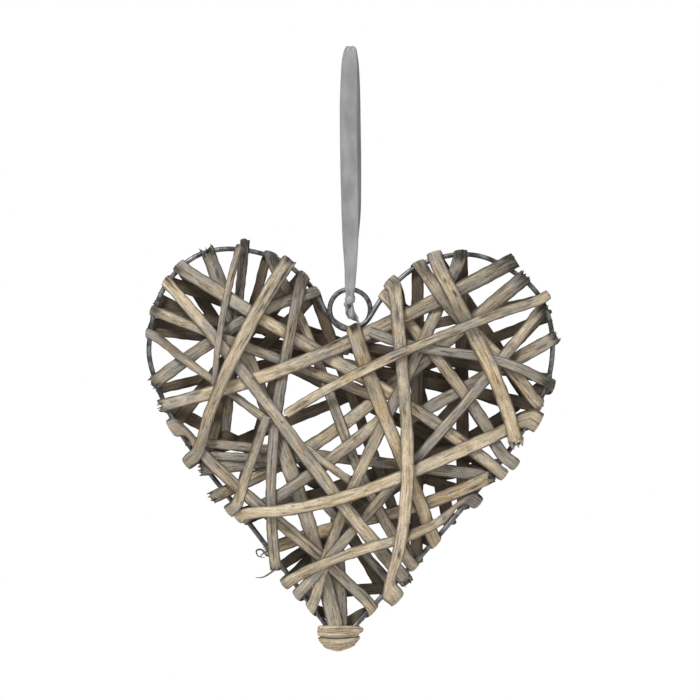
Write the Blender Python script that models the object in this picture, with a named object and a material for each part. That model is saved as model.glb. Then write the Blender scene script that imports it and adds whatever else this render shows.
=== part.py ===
"""Wicker heart: a bent wire heart wound front and back with split willow canes, on a satin ribbon loop.

Metres, +Z up. The front faces -Y. The origin is inside the top of the ribbon's fold, where it hangs.
"""

import math
from collections import namedtuple

import bmesh
import bpy
import numpy as np
from mathutils import Vector

# Driving sizes, in metres
WIRE_WIDTH = 0.1923  # wire heart, side to side, between centre lines
WIRE_HEIGHT = 0.188  # wire heart, from the notch's level to tip is 0.79 of it
WIRE_DIAMETER = 0.0024
RING_RADIUS = 0.0097  # centre line of the ring that the wire makes at the notch
RING_RISE = 0.0107  # ring's centre above the notch
CANE_WIDTH = 0.0062  # a middling cane
CANE_THICKNESS = 0.0015
FOLD_THICKNESS = 0.001  # a cane is squeezed thinner where it bends round the wire
CLEARANCE = 0.00032  # between any two pieces that touch
CUT_OVERHANG = 0.0034  # a cane's cut end runs this far past the wire
PUFF = 0.028  # rise of a cane's middle above its ends, as a share of its own length
SAG_SLOPE = 0.22  # how steeply a cane can come down beside the one that it crosses
RIBBON_WIDTH = 0.0088
RIBBON_GATHERED_WIDTH = 0.0046
RIBBON_THICKNESS = 0.0007
RIBBON_DROP = 0.1144  # from the inside of the fold down to the ring's upper edge
RIBBON_SPREAD = 0.0026  # half the space between the two strands, at most
RIBBON_TURN = math.radians(12)  # the loop is turned a little about the vertical
KNOT_SIZE = (0.0052, 0.0034, 0.0058)
TAIL_LENGTH = 0.0105
CUP_WIDTH = 0.1154 * WIRE_WIDTH  # binding round the tip, outside, as wide as the wire spreads there
CUP_DEPTH = 0.0116
CUP_HEIGHT = 0.0134
CUP_WALL = 0.0012
CUP_RISE = 0.0447 * WIRE_HEIGHT  # binding's rim above the wire's tip

# Shape of the bent wire, from the notch down to the tip, as shares of its width and height
LEFT_BENDS = (
    (0.0, 0.0), (-0.052, 0.041), (-0.104, 0.124), (-0.179, 0.185), (-0.293, 0.211), (-0.39, 0.188),
    (-0.464, 0.107), (-0.496, -0.005), (-0.489, -0.104), (-0.415, -0.264), (-0.243, -0.495),
    (-0.087, -0.706), (-0.027, -0.79),
)
RIGHT_BENDS = (
    (0.0, 0.0), (0.04, 0.025), (0.082, 0.089), (0.156, 0.16), (0.253, 0.195), (0.347, 0.185),
    (0.454, 0.112), (0.499, 0.013), (0.496, -0.104), (0.457, -0.201), (0.377, -0.325),
    (0.194, -0.548), (0.087, -0.663), (-0.027, -0.79),
)

# Parts that each half of the wire is counted in, from the notch to the tip, in the rows below
HALF_PARTS = {-1: 311.0, 1: 314.1}

# One row for each willow cane, from the innermost to the outermost. Places on the wire are parts of
# its half, from the notch, minus on the left. Widths are shares of CANE_WIDTH. bow and sway bend the
# front run sideways, in parts. A run that ends short of the wire, under other canes, has a reach
# under 1. behind_start and behind_end give where the cane goes to at the back, and how far of that
# way. over says how far each cut end runs past the wire, as shares of CUT_OVERHANG.
Cane = namedtuple(
    "Cane",
    "start end widths bow sway first reach behind_start behind_end over",
    defaults=(0.0, 0.0, 0.0, 1.0, None, None, (1.0, 1.0)),
)
CANES = (
    Cane(313, -12, (1.2, 1.0), first=0.06, reach=0.4),
    Cane(100, -220.5, (1.16, 1.0), 5.8, -1.6, over=(1.0, 2.4)),
    Cane(-190, 207, (0.73, 1.0), 0.6, over=(0.2, 1.0)),
    Cane(-206, 178, (1.2, 1.1), reach=0.3, over=(1.2, 1.0)),
    Cane(-198, 203, (0.69, 0.69), reach=0.31, over=(0.2, 1.0)),
    Cane(208, -255, (1.0, 1.0), 1.4, 1.3, over=(1.0, 0.8)),
    Cane(-84, -311, (1.16, 1.2), 3.9, -1.2, reach=0.95),
    Cane(277, -118, (0.69, 0.69), reach=0.3, behind_start=(-283, 0.75)),
    Cane(-53, 263, (0.78, 0.88), -2.8, 2.1, behind_start=(-205, 1), behind_end=(-27, 0.9)),
    Cane(133, -233, (1.08, 1.0), reach=0.49),
    Cane(-236, 100, (1.0, 1.0), -7.0, reach=0.47, behind_start=(176, 1)),
    Cane(-66.5, -217, (0.74, 0.74), reach=0.77, over=(1.7, 1.0)),
    Cane(-26, -158, (0.9, 1.16), -4.2, -0.7, behind_start=(-185, 0.4)),
    Cane(-135, 248, (0.69, 0.66), reach=0.71, behind_start=(148, 0.5)),
    Cane(-124, 190, (0.81, 0.85), reach=0.62, behind_start=(152, 1)),
    Cane(-99, 202, (1.08, 1.0), 1.9, -1.4, behind_start=(212, 0.3), behind_end=(-118, 1)),
    Cane(25, 195, (1.0, 0.95), 2.2, -0.4, behind_start=(173, 0.2), behind_end=(32, 0.5)),
    Cane(-182, 291, (1.0, 0.92), -0.2, -1.2, behind_start=(-39, 0.92), behind_end=(-305, 0.5)),
    Cane(67, -289, (1.0, 0.85), -2.6, 1.8, behind_start=(226, 1), behind_end=(304, 0.35)),
    Cane(-34.5, -259.5, (0.9, 0.85), -6.0, 0.5, behind_start=(-180, 0.3), over=(1.0, 2.0)),
    Cane(-170, 89, (1.03, 1.23), -5.7, -0.7, over=(1.2, 2.0)),
    Cane(47, 165, (1.0, 1.0), -1.1, -1.4, behind_start=(260, 1), behind_end=(-130, 1)),
    Cane(116, -280, (0.85, 0.85), 1.4, 0.7, behind_end=(278, 0.85), over=(0.4, 1.0)),
    Cane(154, 5, (0.82, 0.82), -1.1, -2.4, reach=0.95, behind_start=(-265, 1)),
    Cane(2, 247, (1.23, 1.0), -0.9, -0.4, behind_end=(-171, 1)),
    Cane(-109, 270, (0.92, 1.11), 0.7, 1.1, behind_start=(170, 0.95), over=(1.0, 1.6)),
    Cane(-69, -213, (0.58, 0.5), -5.0, reach=0.6, over=(0.8, 1.0)),
    Cane(-273, 221, (0.9, 0.75), -2.3, 2.4, behind_start=(119, 1), behind_end=(-160, 0.35)),
    Cane(173, -234, (1.08, 0.92), 7.0, -1.2, behind_start=(-250, 0.55), behind_end=(200, 1)),
    Cane(-229, -28, (0.85, 0.69), reach=0.42, behind_start=(-33, 0.6)),
    Cane(-45, -198, (1.23, 0.85), -3.6, 0.1, behind_end=(122, 1)),
    Cane(55, 186, (1.16, 1.16), 2.3, -1.0, behind_start=(167, 1)),
    Cane(31, 279, (1.05, 0.97), 7.5, -1.3, behind_start=(236, 1), behind_end=(-99, 1)),
    Cane(113, -208, (0.77, 0.77), -8.7, 0.8, reach=0.75, behind_start=(-162, 1)),
)

WIRE_RADIUS = WIRE_DIAMETER / 2
NOTCH = Vector((0.0, 0.0, -RIBBON_DROP - 2 * WIRE_RADIUS - RING_RADIUS - RING_RISE + WIRE_RADIUS))
GRID = 0.0005  # cell of the height maps that the canes are laid on
RUN_STEP = 0.0185  # between sections along a front or back run
FOLD_STEPS = 6  # sections round the wire
FOLD_GAP = 1.35  # between folds that lie on each other, as a share of the clearance
FOLD_SQUARENESS = 2.6  # 2 is an ellipse, more is squarer
WIRE_SIDES = 6
WIRE_STEP = 0.0065
# Cross-section of a split cane: flat inside, crowned outside, as shares of half width and thickness
CANE_SECTION = ((-1.0, 0.0), (1.0, 0.0), (0.82, 0.62), (0.0, 1.0), (-0.82, 0.62))


def material(name, colour, roughness, metallic=0.0):
    mat = bpy.data.materials.new(name)
    mat.use_nodes = True
    shader = mat.node_tree.nodes["Principled BSDF"]
    shader.inputs["Base Color"].default_value = (*colour, 1.0)
    shader.inputs["Roughness"].default_value = roughness
    shader.inputs["Metallic"].default_value = metallic
    return mat


def make_object(name, bm, mat):
    bmesh.ops.recalc_face_normals(bm, faces=bm.faces)
    mesh = bpy.data.meshes.new(name)
    bm.to_mesh(mesh)
    bm.free()
    mesh.materials.append(mat)
    obj = bpy.data.objects.new(name, mesh)
    bpy.context.scene.collection.objects.link(obj)
    return obj


def loft(sections, closed=False):
    """A mesh skinned over rings of points, capped at both ends unless it closes on itself."""
    bm = bmesh.new()
    rings = [[bm.verts.new(p) for p in ring] for ring in sections]
    count = len(rings[0])
    pairs = list(zip(rings, rings[1:]))
    if closed:
        pairs.append((rings[-1], rings[0]))
    for a, b in pairs:
        for i in range(count):
            j = (i + 1) % count
            bm.faces.new((a[i], a[j], b[j], b[i]))
    if not closed:
        bm.faces.new(rings[0])
        bm.faces.new(rings[-1])
    bmesh.ops.triangulate(bm, faces=bm.faces)
    return bm


def smooth_through(points, steps=16):
    """Points of a Catmull-Rom curve through the given ones."""
    ends = [2 * points[0] - points[1], *points, 2 * points[-1] - points[-2]]
    curve = []
    for a, b, c, d in zip(ends, ends[1:], ends[2:], ends[3:]):
        for k in range(steps):
            t = k / steps
            curve.append(
                0.5 * (2 * b + (c - a) * t + (2 * a - 5 * b + 4 * c - d) * t**2
                       + (3 * b - a - 3 * c + d) * t**3)
            )
    curve.append(points[-1])
    return np.array(curve)


def half_outline(bends):
    return smooth_through([np.array((x * WIRE_WIDTH, z * WIRE_HEIGHT)) for x, z in bends])


OUTLINE = {-1: half_outline(LEFT_BENDS), 1: half_outline(RIGHT_BENDS)}
LENGTHS = {
    side: np.r_[0, np.cumsum(np.linalg.norm(np.diff(curve, axis=0), axis=1))]
    for side, curve in OUTLINE.items()
}


def on_wire(parts):
    """Distance along the wire from the notch, minus on the left, of a place given in parts."""
    side = -1 if parts < 0 else 1
    return parts / HALF_PARTS[side] * LENGTHS[side][-1]


def wire_place(station):
    """Point on the wire heart in its own plane, from the notch, at a distance along it."""
    side = -1 if station < 0 else 1
    curve, lengths = OUTLINE[side], LENGTHS[side]
    along = min(abs(station), lengths[-1])
    return np.array([np.interp(along, lengths, curve[:, k]) for k in (0, 1)])


def wire_frame_at(station):
    """Unit vectors along the wire and out of the heart."""
    step = 0.002
    side = -1 if station < 0 else 1
    inner = wire_place(side * max(abs(station) - step, 1e-6))
    outer = wire_place(side * (abs(station) + step))
    along = (outer - inner) / max(np.linalg.norm(outer - inner), 1e-9)
    outward = np.array((along[1], -along[0])) * -side
    return along, outward


def to_world(plan, height):
    """Plan point in the heart's plane and height in front of it (minus: behind)."""
    return Vector((plan[0] + NOTCH.x, -height, plan[1] + NOTCH.z))


class HeightMap:
    """How far the pieces laid so far stand off the heart's plane, on one side of it."""

    def __init__(self):
        # A square round the wire, with room for the folds and cut ends outside it
        self.corner = np.array((-0.5 * WIRE_WIDTH, -0.8 * WIRE_HEIGHT)) - 5 * CUT_OVERHANG
        count = int((max(WIRE_WIDTH, 1.05 * WIRE_HEIGHT) + 10 * CUT_OVERHANG) / GRID)
        self.top = np.full((count, count), -1.0)

    def cells(self, points):
        index = np.round((points - self.corner) / GRID).astype(int)
        return np.clip(index, 0, self.top.shape[0] - 1)

    def lay(self, points, heights):
        index = self.cells(points)
        np.maximum.at(self.top, (index[:, 0], index[:, 1]), heights)

    def highest(self, points):
        """Highest thing in the cells at and round each point."""
        index = self.cells(points)
        found = np.full(len(points), -1.0)
        for dx in (-1, 0, 1):
            for dz in (-1, 0, 1):
                near = np.clip(index + (dx, dz), 0, self.top.shape[0] - 1)
                found = np.maximum(found, self.top[near[:, 0], near[:, 1]])
        return found


MAPS = {1: HeightMap(), -1: HeightMap()}
FOLDS = []  # what is wrapped round the wire so far: (low, high, front, out, back)


def plan_of_run(start, end, bow, sway, first, last, start_past, end_past):
    """Plan points of a run, from one place on the wire to another, with its sideways bends."""
    a, b = wire_place(start), wire_place(end)
    reach = b - a
    length = np.linalg.norm(reach)
    ahead = reach / length
    aside = np.array((-ahead[1], ahead[0]))
    steps = max(3, round(length * (last - first) / RUN_STEP))
    shares = np.linspace(first - start_past / length, last + end_past / length, steps + 1)
    return np.array([
        a + reach * u + aside * (bow * 4 * u * (1 - u) + sway * math.sin(2 * math.pi * u))
        for u in shares
    ])


def sideways(plan):
    ahead = np.gradient(plan, axis=0)
    ahead /= np.linalg.norm(ahead, axis=1)[:, None]
    return np.stack((-ahead[:, 1], ahead[:, 0]), axis=1)


def fold_side(direction, station, half_width):
    """Half width of a cane measured along the wire that it folds over."""
    along, outward = wire_frame_at(station)
    across = max(abs(float(direction @ outward)), 0.62)
    turned = np.array((-direction[1], direction[0]))
    sign = 1.0 if turned @ along > 0 else -1.0
    return along * sign * half_width / across


def strip_samples(plan, sides, count=9, per_step=24):
    """Sample points over a run's strip: where they are, and where along and across it."""
    places, shares, across = [], [], []
    for i in range(len(plan) - 1):
        for k in range(per_step + (i == len(plan) - 2)):
            t = k / per_step
            centre = plan[i] * (1 - t) + plan[i + 1] * t
            side = sides[i] * (1 - t) + sides[i + 1] * t
            for v in np.linspace(-1.12, 1.12, count):
                places.append(centre + side * v)
                shares.append(i + t)
                across.append(v)
    return np.array(places), np.array(shares), np.array(across)


def crown(across, thickness):
    section = CANE_SECTION
    return thickness * np.interp(
        np.abs(across), (section[3][0], section[2][0], section[1][0]), (section[3][1], section[2][1], 0.3)
    )


def rest_heights(plan, sides, layer, start_height, end_height):
    """Heights of a run's inner face at its sections, so that it clears all that lies under it."""
    places, shares, _ = strip_samples(plan, sides)
    need = MAPS[layer].highest(places) + CLEARANCE
    steps = np.arange(len(plan))
    length = np.linalg.norm(np.diff(plan, axis=0), axis=1).sum()
    lengthwise = length / (len(plan) - 1)
    base = WIRE_RADIUS + CLEARANCE + PUFF * length * np.sin(np.pi * steps / steps[-1])
    at_samples = shares * lengthwise
    heights = base.copy()
    heights[0] = max(heights[0], start_height or 0.0)
    heights[-1] = max(heights[-1], end_height or 0.0)
    for i in steps:
        sloped = need - SAG_SLOPE * np.abs(at_samples - i * lengthwise)
        heights[i] = max(heights[i], sloped.max())
    if start_height:
        heights[0] = start_height
    if end_height:
        heights[-1] = end_height
    for _ in range(60):
        line = np.interp(shares, steps, heights)
        short = need - line
        worst = short.max()
        if worst <= 1e-6:
            break
        at = shares[short.argmax()]
        i = min(int(at), len(plan) - 2)
        t = at - i
        for j, weight in ((i, 1 - t), (i + 1, t)):
            heights[j] += short.max() * weight / ((1 - t) ** 2 + t**2)
    return heights


def lay_run(plan, sides, heights, layer, thicknesses):
    places, shares, across = strip_samples(plan, sides, count=17, per_step=40)
    steps = np.arange(len(plan))
    tops = np.interp(shares, steps, heights) + crown(across, np.interp(shares, steps, thicknesses))
    MAPS[layer].lay(places, tops)


def fold_sizes(station, half_along, front_need, back_need):
    """How far a new fold stands off the wire in front, outwards and behind, outside older ones."""
    low, high = station - half_along, station + half_along
    front, out, back = (WIRE_RADIUS + CLEARANCE,) * 3
    for older in FOLDS:
        if older[0] < high and older[1] > low:
            front = max(front, older[2] + FOLD_GAP * CLEARANCE)
            out = max(out, older[3] + FOLD_GAP * CLEARANCE)
            back = max(back, older[4] + FOLD_GAP * CLEARANCE)
    return max(front, front_need), out, max(back, back_need)


def along_wire(station, end, side):
    """The stretch of wire that a cut end lies over, as places along it."""
    along, _ = wire_frame_at(station)
    sign = -1.0 if station < 0 else 1.0
    at_wire = wire_place(station)
    shares = [float((point - at_wire) @ along) * sign for point in (end - side, end + side)]
    spread = float(np.linalg.norm(side))
    reach = [*shares, -spread, spread]
    return station + min(reach) - 0.0006, station + max(reach) + 0.0006


def past_wire(station, end, side):
    """How far out of the heart a cut end reaches."""
    _, outward = wire_frame_at(station)
    corners = [float((point - wire_place(station)) @ outward) for point in (end - side, end + side)]
    return max(*corners, WIRE_RADIUS) + 0.0004


def fold_need(layer, station, side, out):
    """Height that a fold needs, to pass over what lies at the wire already."""
    place = wire_place(station)
    _, outward = wire_frame_at(station)
    places = np.array([
        place + side * v + outward * w
        for v in np.linspace(-1.12, 1.12, 17)
        for w in np.linspace(-0.0006, out, 9)
    ])
    return MAPS[layer].highest(places).max() + CLEARANCE


def squared(angle):
    """Outward and upward shares of a fold's profile, a little squarer than an ellipse."""
    power = 2 / FOLD_SQUARENESS
    c, s = math.cos(angle), math.sin(angle)
    return abs(s) ** power, math.copysign(abs(c) ** power, c)


def cane_sections(row):
    """Sections of one cane, end to end: (centre, half width vector, outward normal, thickness)."""
    half_widths = [w * CANE_WIDTH / 2 for w in row.widths]
    past = [
        CUT_OVERHANG * row.over[0] if row.behind_start is None and row.first == 0 else 0.0,
        CUT_OVERHANG * row.over[1] if row.behind_end is None and row.reach == 1 else 0.0,
    ]
    start, end = on_wire(row.start), on_wire(row.end)
    part = LENGTHS[-1][-1] / HALF_PARTS[-1]
    plan = plan_of_run(start, end, row.bow * part, row.sway * part, row.first, row.reach, *past)
    widths = np.linspace(*half_widths, len(plan))
    thicknesses = np.full(len(plan), CANE_THICKNESS)
    sides = sideways(plan) * widths[:, None]
    ends = []
    for place, behind, index, direction in (
        (start, row.behind_start, 0, plan[0] - plan[1]),
        (end, row.behind_end, -1, plan[-1] - plan[-2]),
    ):
        if behind is None:
            ends.append(None)
            continue
        direction = direction / np.linalg.norm(direction)
        side = fold_side(direction, place, widths[index])
        if side @ sides[index] < 0:
            side = -side
        sides[index] = side
        thicknesses[index] = FOLD_THICKNESS
        target = wire_place(on_wire(behind[0])) - wire_place(place)
        target /= np.linalg.norm(target)
        back_side = fold_side(target, place, widths[index])
        back_station = place + math.copysign(1, place) * 0.5 * fold_drift(direction, target, place)
        ends.append((place, back_station, side, back_side, behind, index))
    folds = []
    for item in ends:
        if item is None:
            folds.append(None)
            continue
        place, back_station, side, back_side, behind, index = item
        half_along = max(np.linalg.norm(side), np.linalg.norm(back_side)) + abs(back_station - place) + 0.0006
        middle = (place + back_station) / 2
        _, out, _ = fold_sizes(middle, half_along, 0, 0)
        front_need = fold_need(1, place, side, out + FOLD_THICKNESS)
        back_need = fold_need(-1, back_station, back_side, out + FOLD_THICKNESS)
        front, out, back = fold_sizes(middle, half_along, front_need, back_need)
        folds.append((place, back_station, side, back_side, behind, index, half_along, middle, front, out, back))
    heights = rest_heights(
        plan, sides, 1,
        folds[0][8] if folds[0] else None,
        folds[1][8] if folds[1] else None,
    )
    lay_run(plan, sides, heights, 1, thicknesses)
    front_sections = [
        (to_world(p, h), Vector((s[0], 0, s[1])), Vector((0, -1, 0)), t)
        for p, s, h, t in zip(plan, sides, heights, thicknesses)
    ]
    tails = [[], []]
    for which, fold in enumerate(folds):
        if fold is None:
            if past[which]:
                station, index = (start, end)[which], -which
                top = max(heights[index], heights[(1, -2)[which]]) + CANE_THICKNESS
                low, high = along_wire(station, plan[index], sides[index])
                FOLDS.append((low, high, top, past_wire(station, plan[index], sides[index]), 0.0))
            continue
        tails[which] = fold_and_back(fold, widths, (heights[0], heights[-1])[which])
    return [*reversed(tails[0]), *front_sections, *tails[1]]


def fold_drift(front_direction, back_direction, station):
    """How far along the wire a cane moves while it goes round: half of what its slants ask for."""
    along, outward = wire_frame_at(station)
    slants = []
    for direction, sign in ((front_direction, 1.0), (back_direction, -1.0)):
        across = max(abs(float(direction @ outward)), 0.5)
        slants.append(float(direction @ along) / across)
    drift = math.pi * (WIRE_RADIUS + FOLD_THICKNESS) * (slants[0] + slants[1]) / 2
    return max(-0.004, min(0.004, drift))


def fold_and_back(fold, widths, front):
    """Sections round the wire and along the back, after the front run's own end section."""
    place, back_station, side, back_side, behind, index, half_along, middle, _, out, back = fold
    thickness = FOLD_THICKNESS
    if back_side @ side < 0:
        back_side = -back_side
    end = on_wire(behind[0])
    past = CUT_OVERHANG * 0.6 if behind[1] == 1 else 0.0
    plan = plan_of_run(back_station, end, 0.0, 0.0, 0.0, behind[1], 0.0, past)
    half = np.full(len(plan), widths[index])
    sides = sideways(plan) * half[:, None]
    if sides[0] @ back_side < 0:
        sides = -sides
    sides[0] = back_side
    thicknesses = np.full(len(plan), CANE_THICKNESS)
    thicknesses[0] = thickness
    run_heights = rest_heights(plan, sides, -1, back, None)
    back = run_heights[0]
    sections = []
    for k in range(1, FOLD_STEPS + 1):
        share = k / FOLD_STEPS
        angle = math.pi * share
        outwards, upwards = squared(angle)
        station = place + (back_station - place) * share
        centre = wire_place(station)
        _, outward = wire_frame_at(station)
        height = upwards * (front if upwards > 0 else back)
        spread = side * (1 - share) + back_side * share
        normal = Vector((outward[0] * math.sin(angle), -math.cos(angle), outward[1] * math.sin(angle)))
        if k == FOLD_STEPS:
            normal = Vector((0, 1, 0))
        sections.append((
            to_world(centre + outward * outwards * out, height),
            Vector((spread[0], 0, spread[1])),
            normal.normalized(),
            thickness,
        ))
    # The fold's own top and underside go into the height maps, out to its outer face
    for layer, level, station, spread in ((1, front, place, side), (-1, back, back_station, back_side)):
        base = wire_place(station)
        _, outward = wire_frame_at(station)
        points, heights = [], []
        for w in np.linspace(0, out + thickness, 12):
            share = min(w / (out + thickness), 1.0)
            rise = (1 - share**FOLD_SQUARENESS) ** (1 / FOLD_SQUARENESS)
            for v in np.linspace(-1.12, 1.12, 19):
                points.append(base + spread * v + outward * w)
                heights.append((level + thickness) * rise)
        MAPS[layer].lay(np.array(points), np.array(heights))
    FOLDS.append((middle - half_along, middle + half_along, front + thickness, out + thickness, back + thickness))
    lay_run(plan, sides, run_heights, -1, thicknesses)
    if past:
        low, high = along_wire(end, plan[-1], sides[-1])
        top = run_heights[-2:].max() + CANE_THICKNESS
        FOLDS.append((low, high, 0.0, past_wire(end, plan[-1], sides[-1]), top))
    sections += [
        (to_world(p, -h), Vector((s[0], 0, s[1])), Vector((0, 1, 0)), t)
        for p, s, h, t in list(zip(plan, sides, run_heights, thicknesses))[1:]
    ]
    return sections


def make_cane(name, row, mat):
    rings = [
        [centre + half * across + normal * (thickness * out) for across, out in CANE_SECTION]
        for centre, half, normal, thickness in cane_sections(row)
    ]
    obj = make_object(name, loft(rings), mat)
    obj.data.shade_smooth()
    obj.data.set_sharp_from_angle(angle=math.radians(35))
    return obj


def wire_path():
    """Centre line of the one wire: round the heart, and once round the ring at the notch."""
    depth = WIRE_RADIUS + CLEARANCE / 2 + 0.0002
    fade = 0.02
    path = []
    for side, offset in ((-1, -depth), (1, depth)):
        total = LENGTHS[side][-1]
        stations = np.linspace(0.006, total, int(total / WIRE_STEP))
        points = []
        for s in stations:
            plan = wire_place(side * s)
            lift = offset * max(0.0, 1 - (s - 0.006) / fade)
            points.append((plan, lift))
        path.append(points)
    ring = []
    count = 22
    for k in range(count + 1):
        share = k / count
        angle = -math.pi / 2 + 2 * math.pi * share
        centre = np.array((0.0, RING_RISE))
        ring.append((
            centre + RING_RADIUS * np.array((math.cos(angle), math.sin(angle))),
            -depth + 2 * depth * share,
        ))
    left, right = path
    return [*reversed(left), *ring, *right[:-1]]


def make_wire(mat):
    path = [to_world(plan, height) for plan, height in wire_path()]
    count = len(path)
    rings = []
    for i, point in enumerate(path):
        ahead = (path[(i + 1) % count] - path[i - 1]).normalized()
        front = Vector((0, -1, 0))
        aside = ahead.cross(front).normalized()
        up = aside.cross(ahead).normalized()
        rings.append([
            point + WIRE_RADIUS * (math.cos(a) * aside + math.sin(a) * up)
            for a in (2 * math.pi * k / WIRE_SIDES for k in range(WIRE_SIDES))
        ])
    # The wire itself is the first thing that the canes lie on
    for plan, height in wire_path():
        around = np.array([
            plan + 1.15 * WIRE_RADIUS * np.array((math.cos(a), math.sin(a)))
            for a in np.linspace(0, 2 * math.pi, 12)
        ] + [plan])
        MAPS[1].lay(around, np.full(len(around), WIRE_RADIUS + height))
        MAPS[-1].lay(around, np.full(len(around), WIRE_RADIUS - height))
    obj = make_object("wire_frame", loft(rings, closed=True), mat)
    obj.data.shade_smooth()
    return obj


def make_tip_binding(mat):
    """Cane wound round the tip of the wire: a small cup with a groove between its turns."""
    tip = to_world(wire_place(1.0), 0.0)
    sides = 14
    rim = tip.z + CUP_RISE
    bottom = rim - CUP_HEIGHT
    floor = tip.z - WIRE_RADIUS - CLEARANCE - 0.0002
    # Outer profile: height down from the rim as a share, and width as a share
    outer = ((0.0, 0.96), (0.06, 1.0), (0.36, 0.98), (0.42, 0.88), (0.48, 0.96), (0.7, 0.86), (0.92, 0.55))
    rings = []
    centre = Vector((tip.x + 0.0006, 0, 0))

    def ring(z, half_width, half_depth):
        return [
            Vector((centre.x + half_width * math.cos(a), half_depth * math.sin(a), z))
            for a in (2 * math.pi * k / sides for k in range(sides))
        ]

    for down, wide in reversed(outer):
        rings.append(ring(rim - down * CUP_HEIGHT, wide * CUP_WIDTH / 2, wide * CUP_DEPTH / 2))
    for share in (0.0, 0.45, 1.0):
        z = rim + (floor - rim) * share
        wide = 0.96 - 0.42 * share
        rings.append(ring(z, wide * CUP_WIDTH / 2 - CUP_WALL, wide * CUP_DEPTH / 2 - CUP_WALL))
    bm = loft(rings)
    obj = make_object("tip_binding", bm, mat)
    obj.data.shade_smooth()
    obj.data.set_sharp_from_angle(angle=math.radians(30))
    return obj


def band(points, widths, turn):
    """A ribbon of four-cornered sections along a path in the Y-Z plane, turned about the vertical."""
    rings = []
    closed = (points[0] - points[-1]).length < 1e-9
    path = points[:-1] if closed else points
    count = len(path)
    for i, point in enumerate(path):
        if closed:
            ahead = path[(i + 1) % count] - path[i - 1]
        else:
            ahead = path[min(i + 1, count - 1)] - path[max(i - 1, 0)]
        ahead.normalize()
        across = Vector((1, 0, 0))
        normal = ahead.cross(across).normalized()
        w, t = widths[i] / 2, RIBBON_THICKNESS / 2
        ring = [point + across * (w * a) + normal * (t * b) for a, b in ((-1, -1), (1, -1), (1, 1), (-1, 1))]
        swing = turn(point.z)
        c, s = math.cos(swing), math.sin(swing)
        rings.append([Vector((c * p.x - s * p.y, s * p.x + c * p.y, p.z)) for p in ring])
    return loft(rings, closed=closed)


def make_ribbon(mat):
    ring_top = -RIBBON_DROP
    knot_z = ring_top - 2 * WIRE_RADIUS - CLEARANCE - KNOT_SIZE[2] / 2 - 0.0004
    depth = WIRE_RADIUS + CLEARANCE + RIBBON_THICKNESS / 2 + 0.0004
    half = []
    # Front strand, from the knot up to the fold; the back one mirrors it
    half.append((knot_z, 0.0003 + RIBBON_THICKNESS))
    half.append((ring_top - 2 * WIRE_RADIUS - CLEARANCE, depth * 0.8))
    half.append((ring_top - WIRE_RADIUS, depth))
    half.append((ring_top + 0.0006, depth * 0.9))
    half.append((ring_top + 0.012, 0.0012))
    half.append((ring_top * 0.62, RIBBON_SPREAD * 0.8))
    half.append((ring_top * 0.3, RIBBON_SPREAD * 0.8))
    half.append((-0.012, 0.0018))
    half.append((-0.003, 0.0012))
    half.append((RIBBON_THICKNESS * 0.2, 0.0008))
    front = [Vector((0, -y, z)) for z, y in half]
    top = [Vector((0, 0, RIBBON_THICKNESS * 0.5))]
    back = [Vector((0, y, z)) for z, y in reversed(half)]
    points = [*front, *top, *back]

    def width_at(z):
        return float(np.interp(
            z, (ring_top - 0.004, ring_top + 0.003, ring_top + 0.022, -0.02, 0.0),
            (RIBBON_GATHERED_WIDTH, RIBBON_GATHERED_WIDTH, RIBBON_WIDTH * 0.9, RIBBON_WIDTH, RIBBON_WIDTH * 0.8),
        ))

    def turn(z):
        return RIBBON_TURN * float(np.interp(z, (ring_top, ring_top * 0.6, 0.0), (0.0, 1.0, 1.0)))

    loop = band([*points, points[0].copy()], [width_at(p.z) for p in points], turn)
    ribbon = make_object("hanging_ribbon", loop, mat)
    knot_mesh = bmesh.new()
    bmesh.ops.create_icosphere(knot_mesh, subdivisions=2, radius=0.5)
    for v in knot_mesh.verts:
        v.co = Vector((v.co.x * KNOT_SIZE[0], v.co.y * KNOT_SIZE[1], v.co.z * KNOT_SIZE[2] + knot_z))
    tail_points = [
        Vector((0.0006 * math.sin(3 * k), 0.0, knot_z - TAIL_LENGTH * k / 5)) for k in range(6)
    ]
    tail_widths = [RIBBON_GATHERED_WIDTH * (0.8 + 0.09 * k) for k in range(6)]
    pieces = [
        make_object("knot_shape", knot_mesh, mat),
        make_object("tail_shape", band(tail_points, tail_widths, lambda z: 0.0), mat),
    ]
    for piece in pieces:
        piece.hide_render = True
        piece.display_type = "WIRE"
        join = ribbon.modifiers.new("join_" + piece.name, "BOOLEAN")
        join.operation = "UNION"
        join.object = piece
    return ribbon


def main():
    for obj in list(bpy.data.objects):
        bpy.data.objects.remove(obj, do_unlink=True)
    willow = material("weathered_willow", (0.47, 0.41, 0.33), 0.75)
    steel = material("dull_steel", (0.32, 0.33, 0.34), 0.45, 0.9)
    satin = material("grey_satin", (0.33, 0.31, 0.32), 0.4)
    make_wire(steel)
    for number, row in enumerate(CANES, 1):
        make_cane(f"willow_cane_{number:02d}", row, willow)
    make_tip_binding(willow)
    make_ribbon(satin)


main()
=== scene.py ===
import math
from collections import namedtuple
from functools import partial

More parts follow.
